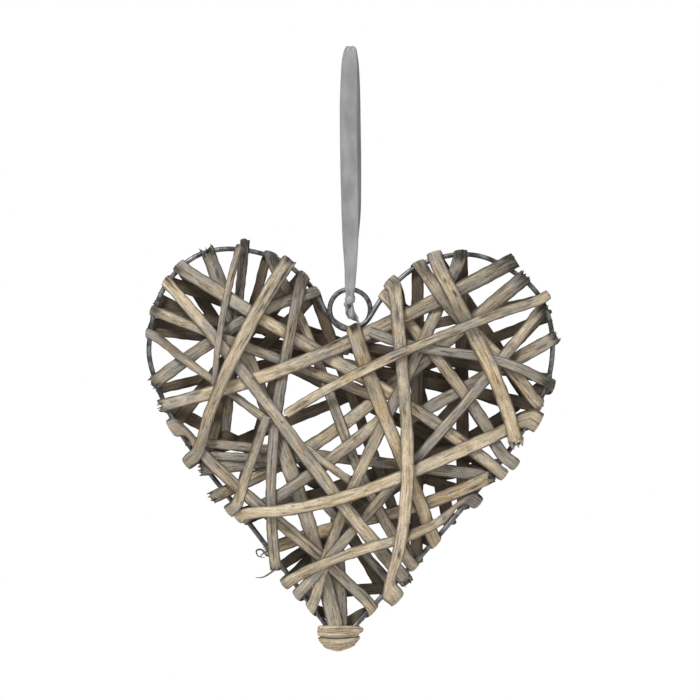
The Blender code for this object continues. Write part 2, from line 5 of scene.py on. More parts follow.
import bmesh
import bpy
import numpy as np
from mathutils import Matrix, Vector


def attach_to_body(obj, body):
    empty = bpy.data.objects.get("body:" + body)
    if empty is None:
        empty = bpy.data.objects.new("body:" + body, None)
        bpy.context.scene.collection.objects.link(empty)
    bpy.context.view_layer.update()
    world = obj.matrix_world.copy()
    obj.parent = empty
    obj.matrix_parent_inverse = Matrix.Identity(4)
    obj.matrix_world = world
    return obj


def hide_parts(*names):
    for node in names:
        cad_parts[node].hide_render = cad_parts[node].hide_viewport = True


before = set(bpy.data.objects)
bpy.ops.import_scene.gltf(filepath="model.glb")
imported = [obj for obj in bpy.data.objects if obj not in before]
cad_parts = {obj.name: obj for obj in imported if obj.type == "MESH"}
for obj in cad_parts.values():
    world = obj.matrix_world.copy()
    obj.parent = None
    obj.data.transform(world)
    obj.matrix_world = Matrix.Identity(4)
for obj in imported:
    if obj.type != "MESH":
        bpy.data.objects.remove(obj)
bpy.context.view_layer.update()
bpy.ops.object.select_all(action="DESELECT")
print("frame loaded")

mm = 0.001

# Sizes in metres. Those of the wire and the laying of the canes are the solids' own, so that each
# piece lies on its own node
wire = {
    "width": 0.1923,  # side to side, between centre lines
    "height": 0.188,
    "diameter": 0.0024,
    "ringRadius": 0.0097,
    "ringRise": 0.0107,
    "halvesBegin": 0.006,  # from the notch, along each half
    "passing": 0.02,  # length over which the halves come back to one level after the ring
    "apart": 0.0002,
    "sides": 16,
    "feltRadius": 1.15,  # radius that canes feel it at, as a share of its own
    # step along it and steps round the ring, of the finished wire and of the one under the canes
    "fine": (0.0012, 90),
    "coarse": (0.0065, 22),
    # from the notch down to the tip, as shares of width and height
    "left": (
        (0.0, 0.0), (-0.052, 0.041), (-0.104, 0.124), (-0.179, 0.185), (-0.293, 0.211), (-0.39, 0.188),
        (-0.464, 0.107), (-0.496, -0.005), (-0.489, -0.104), (-0.415, -0.264), (-0.243, -0.495),
        (-0.087, -0.706), (-0.027, -0.79),
    ),
    "right": (
        (0.0, 0.0), (0.04, 0.025), (0.082, 0.089), (0.156, 0.16), (0.253, 0.195), (0.347, 0.185),
        (0.454, 0.112), (0.499, 0.013), (0.496, -0.104), (0.457, -0.201), (0.377, -0.325),
        (0.194, -0.548), (0.087, -0.663), (-0.027, -0.79),
    ),
}
willow = {
    "width": 0.0062,
    "thickness": 0.0015,
    "foldThickness": 0.001,
    "clearance": 0.00032,
    "cutOverhang": 0.0034,
    "backOverhang": 0.6,  # share of it that an end behind the wire has
    "puff": 0.028,  # rise of a run's middle, as a share of its length
    "sagSlope": 0.22,  # how steeply a run comes down from what it rests on
    "runStep": 0.0185,
    "foldSteps": 6,
    "foldSquareness": 2.6,
    "foldGap": 1.35,  # clearances between one fold and the next
    "foldMargin": 0.0006,  # kept free along the wire beside a fold
    "cutMargin": 0.0004,  # kept free outside a cut end
    "foldCross": 0.62,  # a cane counts as crossing the wire at least this squarely, in its fold's width
    "driftCross": 0.5,  # and in its drift
    "mostDrift": 0.004,  # furthest that a fold runs along the wire
    "feltWidth": 1.12,  # width that a cane is felt for and laid at, as a share of its own
    "fineStep": 0.0012,  # between rings of the finished mesh
    "ringPoints": 22,
    "widthWander": 0.07,  # share of its width that a cane's width wanders by
    "roll": 4.5,  # degrees that a straight run rolls by
    "ridge": 0.00007,  # depth of the grooves along it
    "rag": 0.45,  # depth of a torn edge, as a share of how far its end is torn
    "ragLength": 0.006,
    "endStain": 0.72,  # how dark a cut end is
    "endStainLength": 0.009,
}
ribbon = {
    "drop": 0.1144,  # from the top of its fold to the top of the wire ring
    "thickness": 0.0003,
    "knotDrop": 0.0036,  # from the underside of the ring's wire to the knot's middle
    "rings": 320,
    "columns": 13,
    "picotStep": 0.00095,  # between the small loops of its woven edges
}

# One row for each cane, from the innermost to the outermost, as in the solids, except that canes 9
# and 18 go on further behind. Places on the wire are parts of its half, from the notch, minus on
# the left. first and reach say which share of the way across a cane starts and stops at. behindStart
# and behindEnd are the place that it makes for at the back and its share of that way. over is how
# far its cut ends stand past the wire, in cutOverhangs. tone is light, grey and warmth.
Cane = namedtuple(
    "Cane",
    "start end widths bow sway first reach behindStart behindEnd over tone startCut endCut",
    defaults=(0.0, 0.0, 0.0, 1.0, None, None, (1.0, 1.0), (0.5, 0.4, 0.4), "rough", "rough"),
)
canes = (
    Cane(313, -12, (1.2, 1.0), first=0.06, reach=0.4, tone=(0.2, 0.6, 0.3)),
    Cane(100, -220.5, (1.16, 1.0), 5.8, -1.6, over=(1.0, 2.4), tone=(0.45, 0.4, 0.5),
         startCut="frayed", endCut="frayed"),
    Cane(-190, 207, (0.73, 1.0), 0.6, over=(0.2, 1.0), tone=(0.2, 0.5, 0.2)),
    Cane(-206, 178, (1.2, 1.1), reach=0.3, over=(1.2, 1.0), tone=(0.3, 0.6, 0.3), startCut="frayed"),
    Cane(-198, 203, (0.69, 0.69), reach=0.31, over=(0.2, 1.0), tone=(0.4, 0.5, 0.4)),
    Cane(208, -255, (1.0, 1.0), 1.4, 1.3, over=(1.0, 0.8), tone=(0.5, 0.2, 0.8),
         startCut="frayed", endCut="frayed"),
    Cane(-84, -311, (1.16, 1.2), 3.9, -1.2, reach=0.95, tone=(0.45, 0.6, 0.4), startCut="spiky"),
    Cane(277, -118, (0.69, 0.69), reach=0.3, behindStart=(-283, 0.75), tone=(0.3, 0.5, 0.4)),
    Cane(-53, 263, (0.78, 0.88), -2.8, 2.1, behindStart=(-205, 1), behindEnd=(-27, 0.985),
         tone=(0.5, 0.4, 0.5), startCut="frayed"),
    Cane(133, -233, (1.08, 1.0), reach=0.49, tone=(0.4, 0.6, 0.3), startCut="frayed"),
    Cane(-236, 100, (1.0, 1.0), -7.0, reach=0.47, behindStart=(176, 1), tone=(0.4, 0.5, 0.4)),
    Cane(-66.5, -217, (0.74, 0.74), reach=0.77, over=(1.7, 1.0), tone=(0.3, 0.6, 0.3)),
    Cane(-26, -158, (0.9, 1.16), -4.2, -0.7, behindStart=(-185, 0.4),
         tone=(0.4, 0.6, 0.3), endCut="frayed"),
    Cane(-135, 248, (0.69, 0.66), reach=0.71, behindStart=(148, 0.5), tone=(0.4, 0.5, 0.4)),
    Cane(-124, 190, (0.81, 0.85), reach=0.62, behindStart=(152, 1), tone=(0.45, 0.4, 0.5)),
    Cane(-99, 202, (1.08, 1.0), 1.9, -1.4, behindStart=(212, 0.3), behindEnd=(-118, 1),
         tone=(0.6, 0.4, 0.5)),
    Cane(25, 195, (1.0, 0.95), 2.2, -0.4, behindStart=(173, 0.2), behindEnd=(32, 0.5),
         tone=(0.5, 0.4, 0.5)),
    Cane(-182, 291, (1.0, 0.92), -0.2, -1.2, behindStart=(-39, 0.92), behindEnd=(-305, 0.64),
         tone=(0.5, 0.5, 0.5)),
    Cane(67, -289, (1.0, 0.85), -2.6, 1.8, behindStart=(226, 1), behindEnd=(304, 0.35),
         tone=(0.5, 0.4, 0.5)),
    Cane(-34.5, -259.5, (0.9, 0.85), -6.0, 0.5, behindStart=(-180, 0.3), over=(1.0, 2.0),
         tone=(0.45, 0.6, 0.4)),
    Cane(-170, 89, (1.03, 1.23), -5.7, -0.7, over=(1.2, 2.0),
         tone=(0.65, 0.4, 0.5), startCut="frayed"),
    Cane(47, 165, (1.0, 1.0), -1.1, -1.4, behindStart=(260, 1), behindEnd=(-130, 1), tone=(0.5, 0.4, 0.5)),
    Cane(116, -280, (0.85, 0.85), 1.4, 0.7, behindEnd=(278, 0.85), over=(0.4, 1.0),
         tone=(0.5, 0.5, 0.4), startCut="frayed"),
    Cane(154, 5, (0.82, 0.82), -1.1, -2.4, reach=0.95, behindStart=(-265, 1), tone=(0.5, 0.8, 0.2)),
    Cane(2, 247, (1.23, 1.0), -0.9, -0.4, behindEnd=(-171, 1), tone=(0.55, 0.3, 0.8)),
    Cane(-109, 270, (0.92, 1.11), 0.7, 1.1, behindStart=(170, 0.95), over=(1.0, 1.6),
         tone=(0.6, 0.4, 0.5), endCut="frayed"),
    Cane(-69, -213, (0.58, 0.5), -5.0, reach=0.6, over=(0.8, 1.0), tone=(0.4, 0.6, 0.3)),
    Cane(-273, 221, (0.9, 0.75), -2.3, 2.4, behindStart=(119, 1), behindEnd=(-160, 0.35),
         tone=(0.55, 0.4, 0.5)),
    Cane(173, -234, (1.08, 0.92), 7.0, -1.2, behindStart=(-250, 0.55), behindEnd=(200, 1),
         tone=(0.7, 0.2, 0.5)),
    Cane(-229, -28, (0.85, 0.69), reach=0.42, behindStart=(-33, 0.6), tone=(0.5, 0.5, 0.4)),
    Cane(-45, -198, (1.23, 0.85), -3.6, 0.1, behindEnd=(122, 1), tone=(0.55, 0.4, 0.5)),
    Cane(55, 186, (1.16, 1.16), 2.3, -1.0, behindStart=(167, 1), tone=(0.6, 0.3, 0.7), endCut="split"),
    Cane(31, 279, (1.05, 0.97), 7.5, -1.3, behindStart=(236, 1), behindEnd=(-99, 1), tone=(0.65, 0.3, 0.5)),
    Cane(113, -208, (0.77, 0.77), -8.7, 0.8, reach=0.75, behindStart=(-162, 1), tone=(0.7, 0.3, 0.6)),
)

halfParts = {-1: 311.0, 1: 314.1}  # parts that each half of the wire is counted in
wireRadius = wire["diameter"] / 2
ringTop = -ribbon["drop"]
notchZ = ringTop - wireRadius - wire["ringRadius"] - wire["ringRise"]
mapCell = 0.0005  # of the height maps that the canes are laid on


# The heart's outline and places along it

def smoothThrough(points, steps=16):
    # a Catmull-Rom curve, which passes through each point
    ends = [2 * points[0] - points[1], *points, 2 * points[-1] - points[-2]]
    curve = []
    for a, b, c, d in zip(ends, ends[1:], ends[2:], ends[3:]):
        for k in range(steps):
            t = k / steps
            curve.append(
                0.5 * (2 * b + (c - a) * t + (2 * a - 5 * b + 4 * c - d) * t**2
                       + (3 * b - a - 3 * c + d) * t**3)
            )
    curve.append(points[-1])
    return np.array(curve)


def unit(vector):
    return vector / np.linalg.norm(vector)


def halfOutline(bends):
    return smoothThrough([np.array((x * wire["width"], z * wire["height"])) for x, z in bends])


def lengthsTo(points):
    return np.r_[0, np.cumsum(np.linalg.norm(np.diff(points, axis=0), axis=1))]


outline = {-1: halfOutline(wire["left"]), 1: halfOutline(wire["right"])}
lengthsAlong = {side: lengthsTo(curve) for side, curve in outline.items()}


def onWire(parts):
    side = -1 if parts < 0 else 1
    return parts / halfParts[side] * lengthsAlong[side][-1]


def wirePlace(station):
    # a point in the heart's own plane, from the notch
    side = -1 if station < 0 else 1
    curve, lengths = outline[side], lengthsAlong[side]
    along = min(abs(station), lengths[-1])
    return np.array([np.interp(along, lengths, curve[:, k]) for k in (0, 1)])


def wireFrameAt(station):
    # unit vectors along the wire and out of the heart
    step = 0.002
    side = -1 if station < 0 else 1
    inner = wirePlace(side * max(abs(station) - step, 1e-6))
    outer = wirePlace(side * (abs(station) + step))
    along = (outer - inner) / max(np.linalg.norm(outer - inner), 1e-9)
    return along, np.array((along[1], -along[0])) * -side


def toWorld(plan, height):
    return Vector((plan[0], -height, plan[1] + notchZ))


# What is laid so far, in front of the heart's plane and behind it

class HeightMap:
    def __init__(self):
        over = 5 * willow["cutOverhang"]
        self.corner = np.array((-0.5 * wire["width"], -0.8 * wire["height"])) - over
        count = int((max(wire["width"], 1.05 * wire["height"]) + 2 * over) / mapCell)
        self.top = np.full((count, count), -1.0)

    def cells(self, points):
        index = np.round((points - self.corner) / mapCell).astype(int)
        return np.clip(index, 0, self.top.shape[0] - 1)

    def lay(self, points, heights):
        index = self.cells(points)
        np.maximum.at(self.top, (index[:, 0], index[:, 1]), heights)

    def highest(self, points):
        index = self.cells(points)
        found = np.full(len(points), -1.0)
        for dx in (-1, 0, 1):
            for dz in (-1, 0, 1):
                near = np.clip(index + (dx, dz), 0, self.top.shape[0] - 1)
                found = np.maximum(found, self.top[near[:, 0], near[:, 1]])
        return found


heightMaps = {1: HeightMap(), -1: HeightMap()}
foldsLaid = []  # (low, high, front, out, back) of all that is wrapped round the wire
Fold = namedtuple("Fold", "place backPlace side backSide behind index middle halfAlong out back front")


def feltPlaces(count):
    # places across a cane, in half widths
    return np.linspace(-willow["feltWidth"], willow["feltWidth"], count)


def planOfRun(start, end, bow, sway, first, last, startPast, endPast):
    a, b = wirePlace(start), wirePlace(end)
    reach = b - a
    length = np.linalg.norm(reach)
    ahead = unit(reach)
    aside = np.array((-ahead[1], ahead[0]))
    steps = max(3, round(length * (last - first) / willow["runStep"]))
    shares = np.linspace(first - startPast / length, last + endPast / length, steps + 1)
    return np.array([
        a + reach * u + aside * (bow * 4 * u * (1 - u) + sway * math.sin(2 * math.pi * u))
        for u in shares
    ])


def sideways(plan):
    ahead = np.gradient(plan, axis=0)
    ahead /= np.linalg.norm(ahead, axis=1)[:, None]
    return np.stack((-ahead[:, 1], ahead[:, 0]), axis=1)


def foldSide(direction, station, halfWidth):
    # half width of a cane measured along the wire that it folds over
    along, outward = wireFrameAt(station)
    across = max(abs(float(direction @ outward)), willow["foldCross"])
    turned = np.array((-direction[1], direction[0]))
    sign = 1.0 if turned @ along > 0 else -1.0
    return along * sign * halfWidth / across


def stripSamples(plan, sides, count=9, perStep=24):
    places, shares, across = [], [], []
    for i in range(len(plan) - 1):
        for k in range(perStep + (i == len(plan) - 2)):
            t = k / perStep
            centre = plan[i] * (1 - t) + plan[i + 1] * t
            side = sides[i] * (1 - t) + sides[i + 1] * t
            for v in feltPlaces(count):
                places.append(centre + side * v)
                shares.append(i + t)
                across.append(v)
    return np.array(places), np.array(shares), np.array(across)


def crown(across, thickness):
    return thickness * np.interp(np.abs(across), (0.0, 0.82, 1.0), (1.0, 0.62, 0.3))


def restHeights(plan, sides, layer, startHeight, endHeight):
    # heights of a run's inner face at its sections, clear of all that lies under it
    places, shares, _ = stripSamples(plan, sides)
    need = heightMaps[layer].highest(places) + willow["clearance"]
    steps = np.arange(len(plan))
    length = np.linalg.norm(np.diff(plan, axis=0), axis=1).sum()
    lengthwise = length / (len(plan) - 1)
    arch = willow["puff"] * length * np.sin(np.pi * steps / steps[-1])
    heights = wireRadius + willow["clearance"] + arch
    heights[0] = max(heights[0], startHeight or 0.0)
    heights[-1] = max(heights[-1], endHeight or 0.0)
    for i in steps:
        sloped = need - willow["sagSlope"] * np.abs(shares * lengthwise - i * lengthwise)
        heights[i] = max(heights[i], sloped.max())
    if startHeight:
        heights[0] = startHeight
    if endHeight:
        heights[-1] = endHeight
    for _ in range(60):
        short = need - np.interp(shares, steps, heights)
        if short.max() <= 1e-6:
            break
        at = shares[short.argmax()]
        i = min(int(at), len(plan) - 2)
        t = at - i
        for j, weight in ((i, 1 - t), (i + 1, t)):
            heights[j] += short.max() * weight / ((1 - t) ** 2 + t**2)
    return heights


def layRun(plan, sides, heights, layer, thicknesses):
    places, shares, across = stripSamples(plan, sides, count=17, perStep=40)
    steps = np.arange(len(plan))
    tops = np.interp(shares, steps, heights) + crown(across, np.interp(shares, steps, thicknesses))
    heightMaps[layer].lay(places, tops)


def foldSizes(station, halfAlong, frontNeed, backNeed):
    # how far in front, outside and behind a fold lies, over older folds
    low, high = station - halfAlong, station + halfAlong
    gap = willow["foldGap"] * willow["clearance"]
    front, out, back = (wireRadius + willow["clearance"],) * 3
    for older in foldsLaid:
        if older[0] < high and older[1] > low:
            front = max(front, older[2] + gap)
            out = max(out, older[3] + gap)
            back = max(back, older[4] + gap)
    return max(front, frontNeed), out, max(back, backNeed)


def alongWire(station, end, side):
    # the stretch of wire that a cut end lies over
    along, _ = wireFrameAt(station)
    sign = -1.0 if station < 0 else 1.0
    corners = [float((point - wirePlace(station)) @ along) * sign for point in (end - side, end + side)]
    spread = float(np.linalg.norm(side))
    reach = [*corners, -spread, spread]
    return station + min(reach) - willow["foldMargin"], station + max(reach) + willow["foldMargin"]


def pastWire(station, end, side):
    # how far outside the wire a cut end reaches
    _, outward = wireFrameAt(station)
    corners = [float((point - wirePlace(station)) @ outward) for point in (end - side, end + side)]
    return max(*corners, wireRadius) + willow["cutMargin"]


def foldNeed(layer, station, side, out):
    # how high a fold has to lie to clear all that is under it
    place = wirePlace(station)
    _, outward = wireFrameAt(station)
    places = np.array([
        place + side * v + outward * w
        for v in feltPlaces(17)
        for w in np.linspace(-willow["foldMargin"], out, 9)
    ])
    return heightMaps[layer].highest(places).max() + willow["clearance"]


def squared(angle):
    # a rounded square's place at an angle: how far out, and how far to the front
    power = 2 / willow["foldSquareness"]
    c, s = math.cos(angle), math.sin(angle)
    return abs(s) ** power, math.copysign(abs(c) ** power, c)


def noteCutEnd(station, end, side, front, back):
    low, high = alongWire(station, end, side)
    foldsLaid.append((low, high, front, pastWire(station, end, side), back))


def foldDrift(frontDirection, backDirection, station):
    # how far along the wire a slanting cane gets while it goes round it
    along, outward = wireFrameAt(station)
    slants = [
        float(direction @ along) / max(abs(float(direction @ outward)), willow["driftCross"])
        for direction in (frontDirection, backDirection)
    ]
    drift = math.pi * (wireRadius + willow["foldThickness"]) * (slants[0] + slants[1]) / 2
    return max(-willow["mostDrift"], min(willow["mostDrift"], drift))


def foldAt(place, behind, index, direction, halfWidth, like):
    # how a cane folds round the wire at one end of its front run, clear of older folds
    direction = unit(direction)
    side = foldSide(direction, place, halfWidth)
    if side @ like < 0:
        side = -side
    target = unit(wirePlace(onWire(behind[0])) - wirePlace(place))
    backSide = foldSide(target, place, halfWidth)
    backPlace = place + math.copysign(1, place) * 0.5 * foldDrift(direction, target, place)
    halfAlong = max(np.linalg.norm(side), np.linalg.norm(backSide))
    halfAlong = halfAlong + abs(backPlace - place) + willow["foldMargin"]
    middle = (place + backPlace) / 2
    _, out, _ = foldSizes(middle, halfAlong, 0, 0)
    deep = out + willow["foldThickness"]
    front, out, back = foldSizes(
        middle, halfAlong, foldNeed(1, place, side, deep), foldNeed(-1, backPlace, backSide, deep)
    )
    return Fold(place, backPlace, side, backSide, behind, index, middle, halfAlong, out, back, front)


def flatSections(plan, sides, heights, layer, thicknesses):
    # layer is 1 in front of the heart's plane and -1 behind it
    return [
        (toWorld(p, layer * h), Vector((s[0], 0, s[1])), Vector((0, -layer, 0)), t)
        for p, s, h, t in zip(plan, sides, heights, thicknesses)
    ]


def caneSections(row):
    # (centre, half width vector, outward normal, thickness) from one end of a cane to the other,
    # and the first and last of them that are on the front
    past = [
        willow["cutOverhang"] * over if behind is None and whole else 0.0
        for over, behind, whole in zip(
            row.over, (row.behindStart, row.behindEnd), (row.first == 0, row.reach == 1)
        )
    ]
    start, end = onWire(row.start), onWire(row.end)
    part = lengthsAlong[-1][-1] / halfParts[-1]
    plan = planOfRun(start, end, row.bow * part, row.sway * part, row.first, row.reach, *past)
    widths = np.linspace(*(w * willow["width"] / 2 for w in row.widths), len(plan))
    thicknesses = np.full(len(plan), willow["thickness"])
    sides = sideways(plan) * widths[:, None]
    folds = []
    for place, behind, index, direction in (
        (start, row.behindStart, 0, plan[0] - plan[1]),
        (end, row.behindEnd, -1, plan[-1] - plan[-2]),
    ):
        if behind is None:
            folds.append(None)
            continue
        fold = foldAt(place, behind, index, direction, widths[index], sides[index])
        sides[index] = fold.side
        thicknesses[index] = willow["foldThickness"]
        folds.append(fold)
    heights = restHeights(plan, sides, 1, *(fold.front if fold else None for fold in folds))
    layRun(plan, sides, heights, 1, thicknesses)
    frontSections = flatSections(plan, sides, heights, 1, thicknesses)
    tails = [[], []]
    for which, fold in enumerate(folds):
        if fold:
            tails[which] = foldAndBack(fold, widths[fold.index], heights[fold.index])
        elif past[which]:
            index = -which
            top = max(heights[index], heights[(1, -2)[which]]) + willow["thickness"]
            noteCutEnd((start, end)[which], plan[index], sides[index], top, 0.0)
    firstFront = len(tails[0])
    lastFront = firstFront + len(frontSections) - 1
    return [*reversed(tails[0]), *frontSections, *tails[1]], firstFront, lastFront


def roundWire(fold, backSide, front, back):
    # the sections of a fold, from the front face to the back one
    sections = []
    for k in range(1, willow["foldSteps"] + 1):
        share = k / willow["foldSteps"]
        angle = math.pi * share
        outwards, upwards = squared(angle)
        station = fold.place + (fold.backPlace - fold.place) * share
        _, outward = wireFrameAt(station)
        centre = wirePlace(station) + outward * outwards * fold.out
        spread = fold.side * (1 - share) + backSide * share
        normal = Vector((outward[0] * math.sin(angle), -math.cos(angle), outward[1] * math.sin(angle)))
        sections.append((
            toWorld(centre, upwards * (front if upwards > 0 else back)),
            Vector((spread[0], 0, spread[1])),
            normal.normalized(),
            willow["foldThickness"],
        ))
    return sections


def layFold(fold, backSide, front, back):
    thin, square = willow["foldThickness"], willow["foldSquareness"]
    for layer, level, station, spread in (
        (1, front, fold.place, fold.side), (-1, back, fold.backPlace, backSide),
    ):
        base = wirePlace(station)
        _, outward = wireFrameAt(station)
        points, heights = [], []
        for w in np.linspace(0, fold.out + thin, 12):
            share = min(w / (fold.out + thin), 1.0)
            rise = (1 - share**square) ** (1 / square)
            for v in feltPlaces(19):
                points.append(base + spread * v + outward * w)
                heights.append((level + thin) * rise)
        heightMaps[layer].lay(np.array(points), np.array(heights))
    low, high = fold.middle - fold.halfAlong, fold.middle + fold.halfAlong
    foldsLaid.append((low, high, front + thin, fold.out + thin, back + thin))


def foldAndBack(fold, halfWidth, front):
    # the sections that follow the front run: round the wire and on behind it
    backSide = -fold.backSide if fold.backSide @ fold.side < 0 else fold.backSide
    end, reach = onWire(fold.behind[0]), fold.behind[1]
    past = willow["cutOverhang"] * willow["backOverhang"] if reach == 1 else 0.0
    plan = planOfRun(fold.backPlace, end, 0.0, 0.0, 0.0, reach, 0.0, past)
    sides = sideways(plan) * halfWidth
    if sides[0] @ backSide < 0:
        sides = -sides
    sides[0] = backSide
    thicknesses = np.full(len(plan), willow["thickness"])
    thicknesses[0] = willow["foldThickness"]
    heights = restHeights(plan, sides, -1, fold.back, None)
    sections = roundWire(fold, backSide, front, heights[0])
    layFold(fold, backSide, front, heights[0])
    layRun(plan, sides, heights, -1, thicknesses)
    if past:
        noteCutEnd(end, plan[-1], sides[-1], 0.0, heights[-2:].max() + willow["thickness"])
    return sections + flatSections(plan, sides, heights, -1, thicknesses)[1:]


# Meshes

def addObject(name, points, faces, material):
    mesh = bpy.data.meshes.new(name)
    mesh.from_pydata([tuple(p) for p in points], [], faces)
    mesh.materials.append(material)
    piece = bpy.data.objects.new(name, mesh)
    bpy.context.scene.collection.objects.link(piece)
    work = bmesh.new()
    work.from_mesh(mesh)
    bmesh.ops.recalc_face_normals(work, faces=work.faces)
    work.to_mesh(mesh)
    work.free()
    mesh.shade_smooth()
    return piece


def attach(piece, node):
    # the piece stands for its node, in the one body
    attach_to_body(piece, "root")
    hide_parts(node)


def setAttribute(piece, name, values):
    values = np.asarray(values, np.float32)
    kind, key = ("FLOAT_VECTOR", "vector") if values.ndim == 2 else ("FLOAT", "value")
    data = piece.data.attributes.new(name, kind, "POINT")
    data.data.foreach_set(key, values.ravel())


def ringFaces(rings, count, closed=False):
    # rings of points joined into a tube, with its ends shut or, where closed, joined to each other
    faces = []
    for i in range(rings - (not closed)):
        a, b = i * count, (i + 1) % rings * count
        faces += [(a + k, a + (k + 1) % count, b + (k + 1) % count, b + k) for k in range(count)]
    if not closed:
        faces.append(tuple(range(count)))
        faces.append(tuple(range((rings - 1) * count, rings * count)))
    return faces


def gridFaces(rows, columns):
    return [
        (i * columns + k, i * columns + k + 1, (i + 1) * columns + k + 1, (i + 1) * columns + k)
        for i in range(rows - 1) for k in range(columns - 1)
    ]


def through(values, at, fine):
    # a monotone cubic through the values, so that it never swings past them
    gaps = np.diff(at)[:, None]
    slopes = np.diff(values, axis=0) / gaps
    before, after = slopes[:-1], slopes[1:]
    early, late = 2 * gaps[1:] + gaps[:-1], gaps[1:] + 2 * gaps[:-1]
    with np.errstate(divide="ignore", invalid="ignore"):
        middle = np.where(before * after > 0, (early + late) / (early / before + late / after), 0.0)
    tangents = np.vstack((slopes[:1], middle, slopes[-1:]))
    index = np.clip(np.searchsorted(at, fine, side="right") - 1, 0, len(at) - 2)
    h = gaps[index]
    t = (fine - at[index])[:, None] / h
    return (
        (2 * t**3 - 3 * t**2 + 1) * values[index] + (t**3 - 2 * t**2 + t) * h * tangents[index]
        + (3 * t**2 - 2 * t**3) * values[index + 1] + (t**3 - t**2) * h * tangents[index + 1]
    )


def ringProfile(count):
    # a split cane: crowned bark side, and a nearly flat inside with a shallow pith groove
    top = round(count * 0.62)
    profile = []
    for k in range(top):
        a = -math.cos(math.pi * k / (top - 1))
        profile.append((a, 0.14 + 0.86 * max(0.0, 1 - abs(a) ** 2.1) ** 0.55))
    for k in range(count - top):
        a = 0.96 - 1.92 * k / (count - top - 1)
        profile.append((a, 0.14 * math.exp(-((a / 0.25) ** 2)) if abs(a) < 0.9 else 0.03))
    return np.array(profile)


endShapes = {
    # metres that the end is torn back, number of splinters, width of one as a share of the half width
    "rough": (0.0009, 0, 0.0),
    "frayed": (0.0019, 4, 0.26),
    "spiky": (0.0034, 3, 0.24),
    "split": (0.0026, 3, 0.34),
}
splinterRings = (0.0, 0.3, 0.6, 0.85, 1.0)
splinterSides = 5
splinterThickness = 0.0009
splinterRoot = 0.002  # length of it that stays inside the cane


def splinter(centre, ahead, side, normal, length, halfWidth, thickness, lean, lift):
    points = []
    for share in splinterRings:
        taper = (1 - share) ** 0.7 + 0.06
        at = centre + ahead * (length * share) + side * (lean * share**2) + normal * (lift * share**2)
        for j in range(splinterSides):
            angle = 2 * math.pi * j / splinterSides
            points.append(
                at + side * (halfWidth * taper * math.cos(angle))
                + normal * (thickness * taper * (0.5 + 0.5 * math.sin(angle)))
            )
    return points


def downIntoBinding(sections, index, length, height):
    # one more section at that end
    centre, half, normal, thick = sections[index]
    inside = centre + (centre - sections[1 if index == 0 else -2][0]).normalized() * length
    inside.y = -height
    extra = (inside, half * 0.9, normal, thick)
    return [extra, *sections] if index == 0 else [*sections, extra]


def groovesAlong(fine, across, rng):
    lines = np.zeros((len(fine), len(across)))
    for _ in range(7):
        pitch = rng.uniform(5, 24)
        drift = rng.uniform(0.2, 0.8) * np.sin(fine * rng.uniform(15, 60) + rng.uniform(0, 6))
        lines += np.sin(pitch * across[None, :] + rng.uniform(0, 6) + drift[:, None]) * rng.uniform(0.3, 1)
    return lines * willow["ridge"] / 2


def tornBack(across, rag, rng):
    # how far back each point of an end lies
    return rag * (
        np.sin(across * rng.uniform(3, 5) + rng.uniform(0, 6))
        + 0.7 * np.sin(across * rng.uniform(9, 13) + rng.uniform(0, 6))
        + 0.5 * np.sin(across * rng.uniform(18, 24) + rng.uniform(0, 6)) - 2.2
    )


class CaneMesh:
    # points and faces, and what the willow reads at each point
    def __init__(self):
        self.points, self.faces, self.strip = [], [], []
        self.frontShare, self.across, self.inner = [], [], []

    def add(self, points, faces, strip, frontShare, across, inner=0.0):
        first = len(self.points)
        self.points += points
        self.faces += [tuple(first + i for i in face) for face in faces]
        self.strip += strip
        for values, new in ((self.frontShare, frontShare), (self.across, across), (self.inner, inner)):
            values += list(np.broadcast_to(new, len(points)))


def stainAndShadeOf(number, row, share, across, runLength):
    # dark at cut ends and where the stains and grooves say so; one of the stains is painted shade
    cutEnds = (row.behindStart is None and row.first == 0, row.behindEnd is None and row.reach == 1)
    whole = np.ones_like(share)
    fromEnd = np.minimum(share if cutEnds[0] else whole, 1 - share if cutEnds[1] else whole) * runLength
    stainAndShade = np.clip(willow["endStain"] - fromEnd / willow["endStainLength"], 0, willow["endStain"])
    for place, side, sizeAlong, sizeAcross, strength in stainsAndShade.get(number, ()):
        along = (share - place) * runLength / (sizeAlong * mm)
        stainAndShade = np.maximum(stainAndShade, strength * np.exp(-(along**2 + ((across - side) / sizeAcross) ** 2)))
    for start, end, side, wide, strength in grooves.get(number, ()):
        on = np.clip((share - start) * 25, 0, 1) * np.clip((end - share) * 25, 0, 1)
        middle = side + 0.12 * np.sin(share * 9 + number)
        stainAndShade = np.maximum(stainAndShade, strength * on * np.exp(-(((across - middle) / wide) ** 2)))
    return stainAndShade


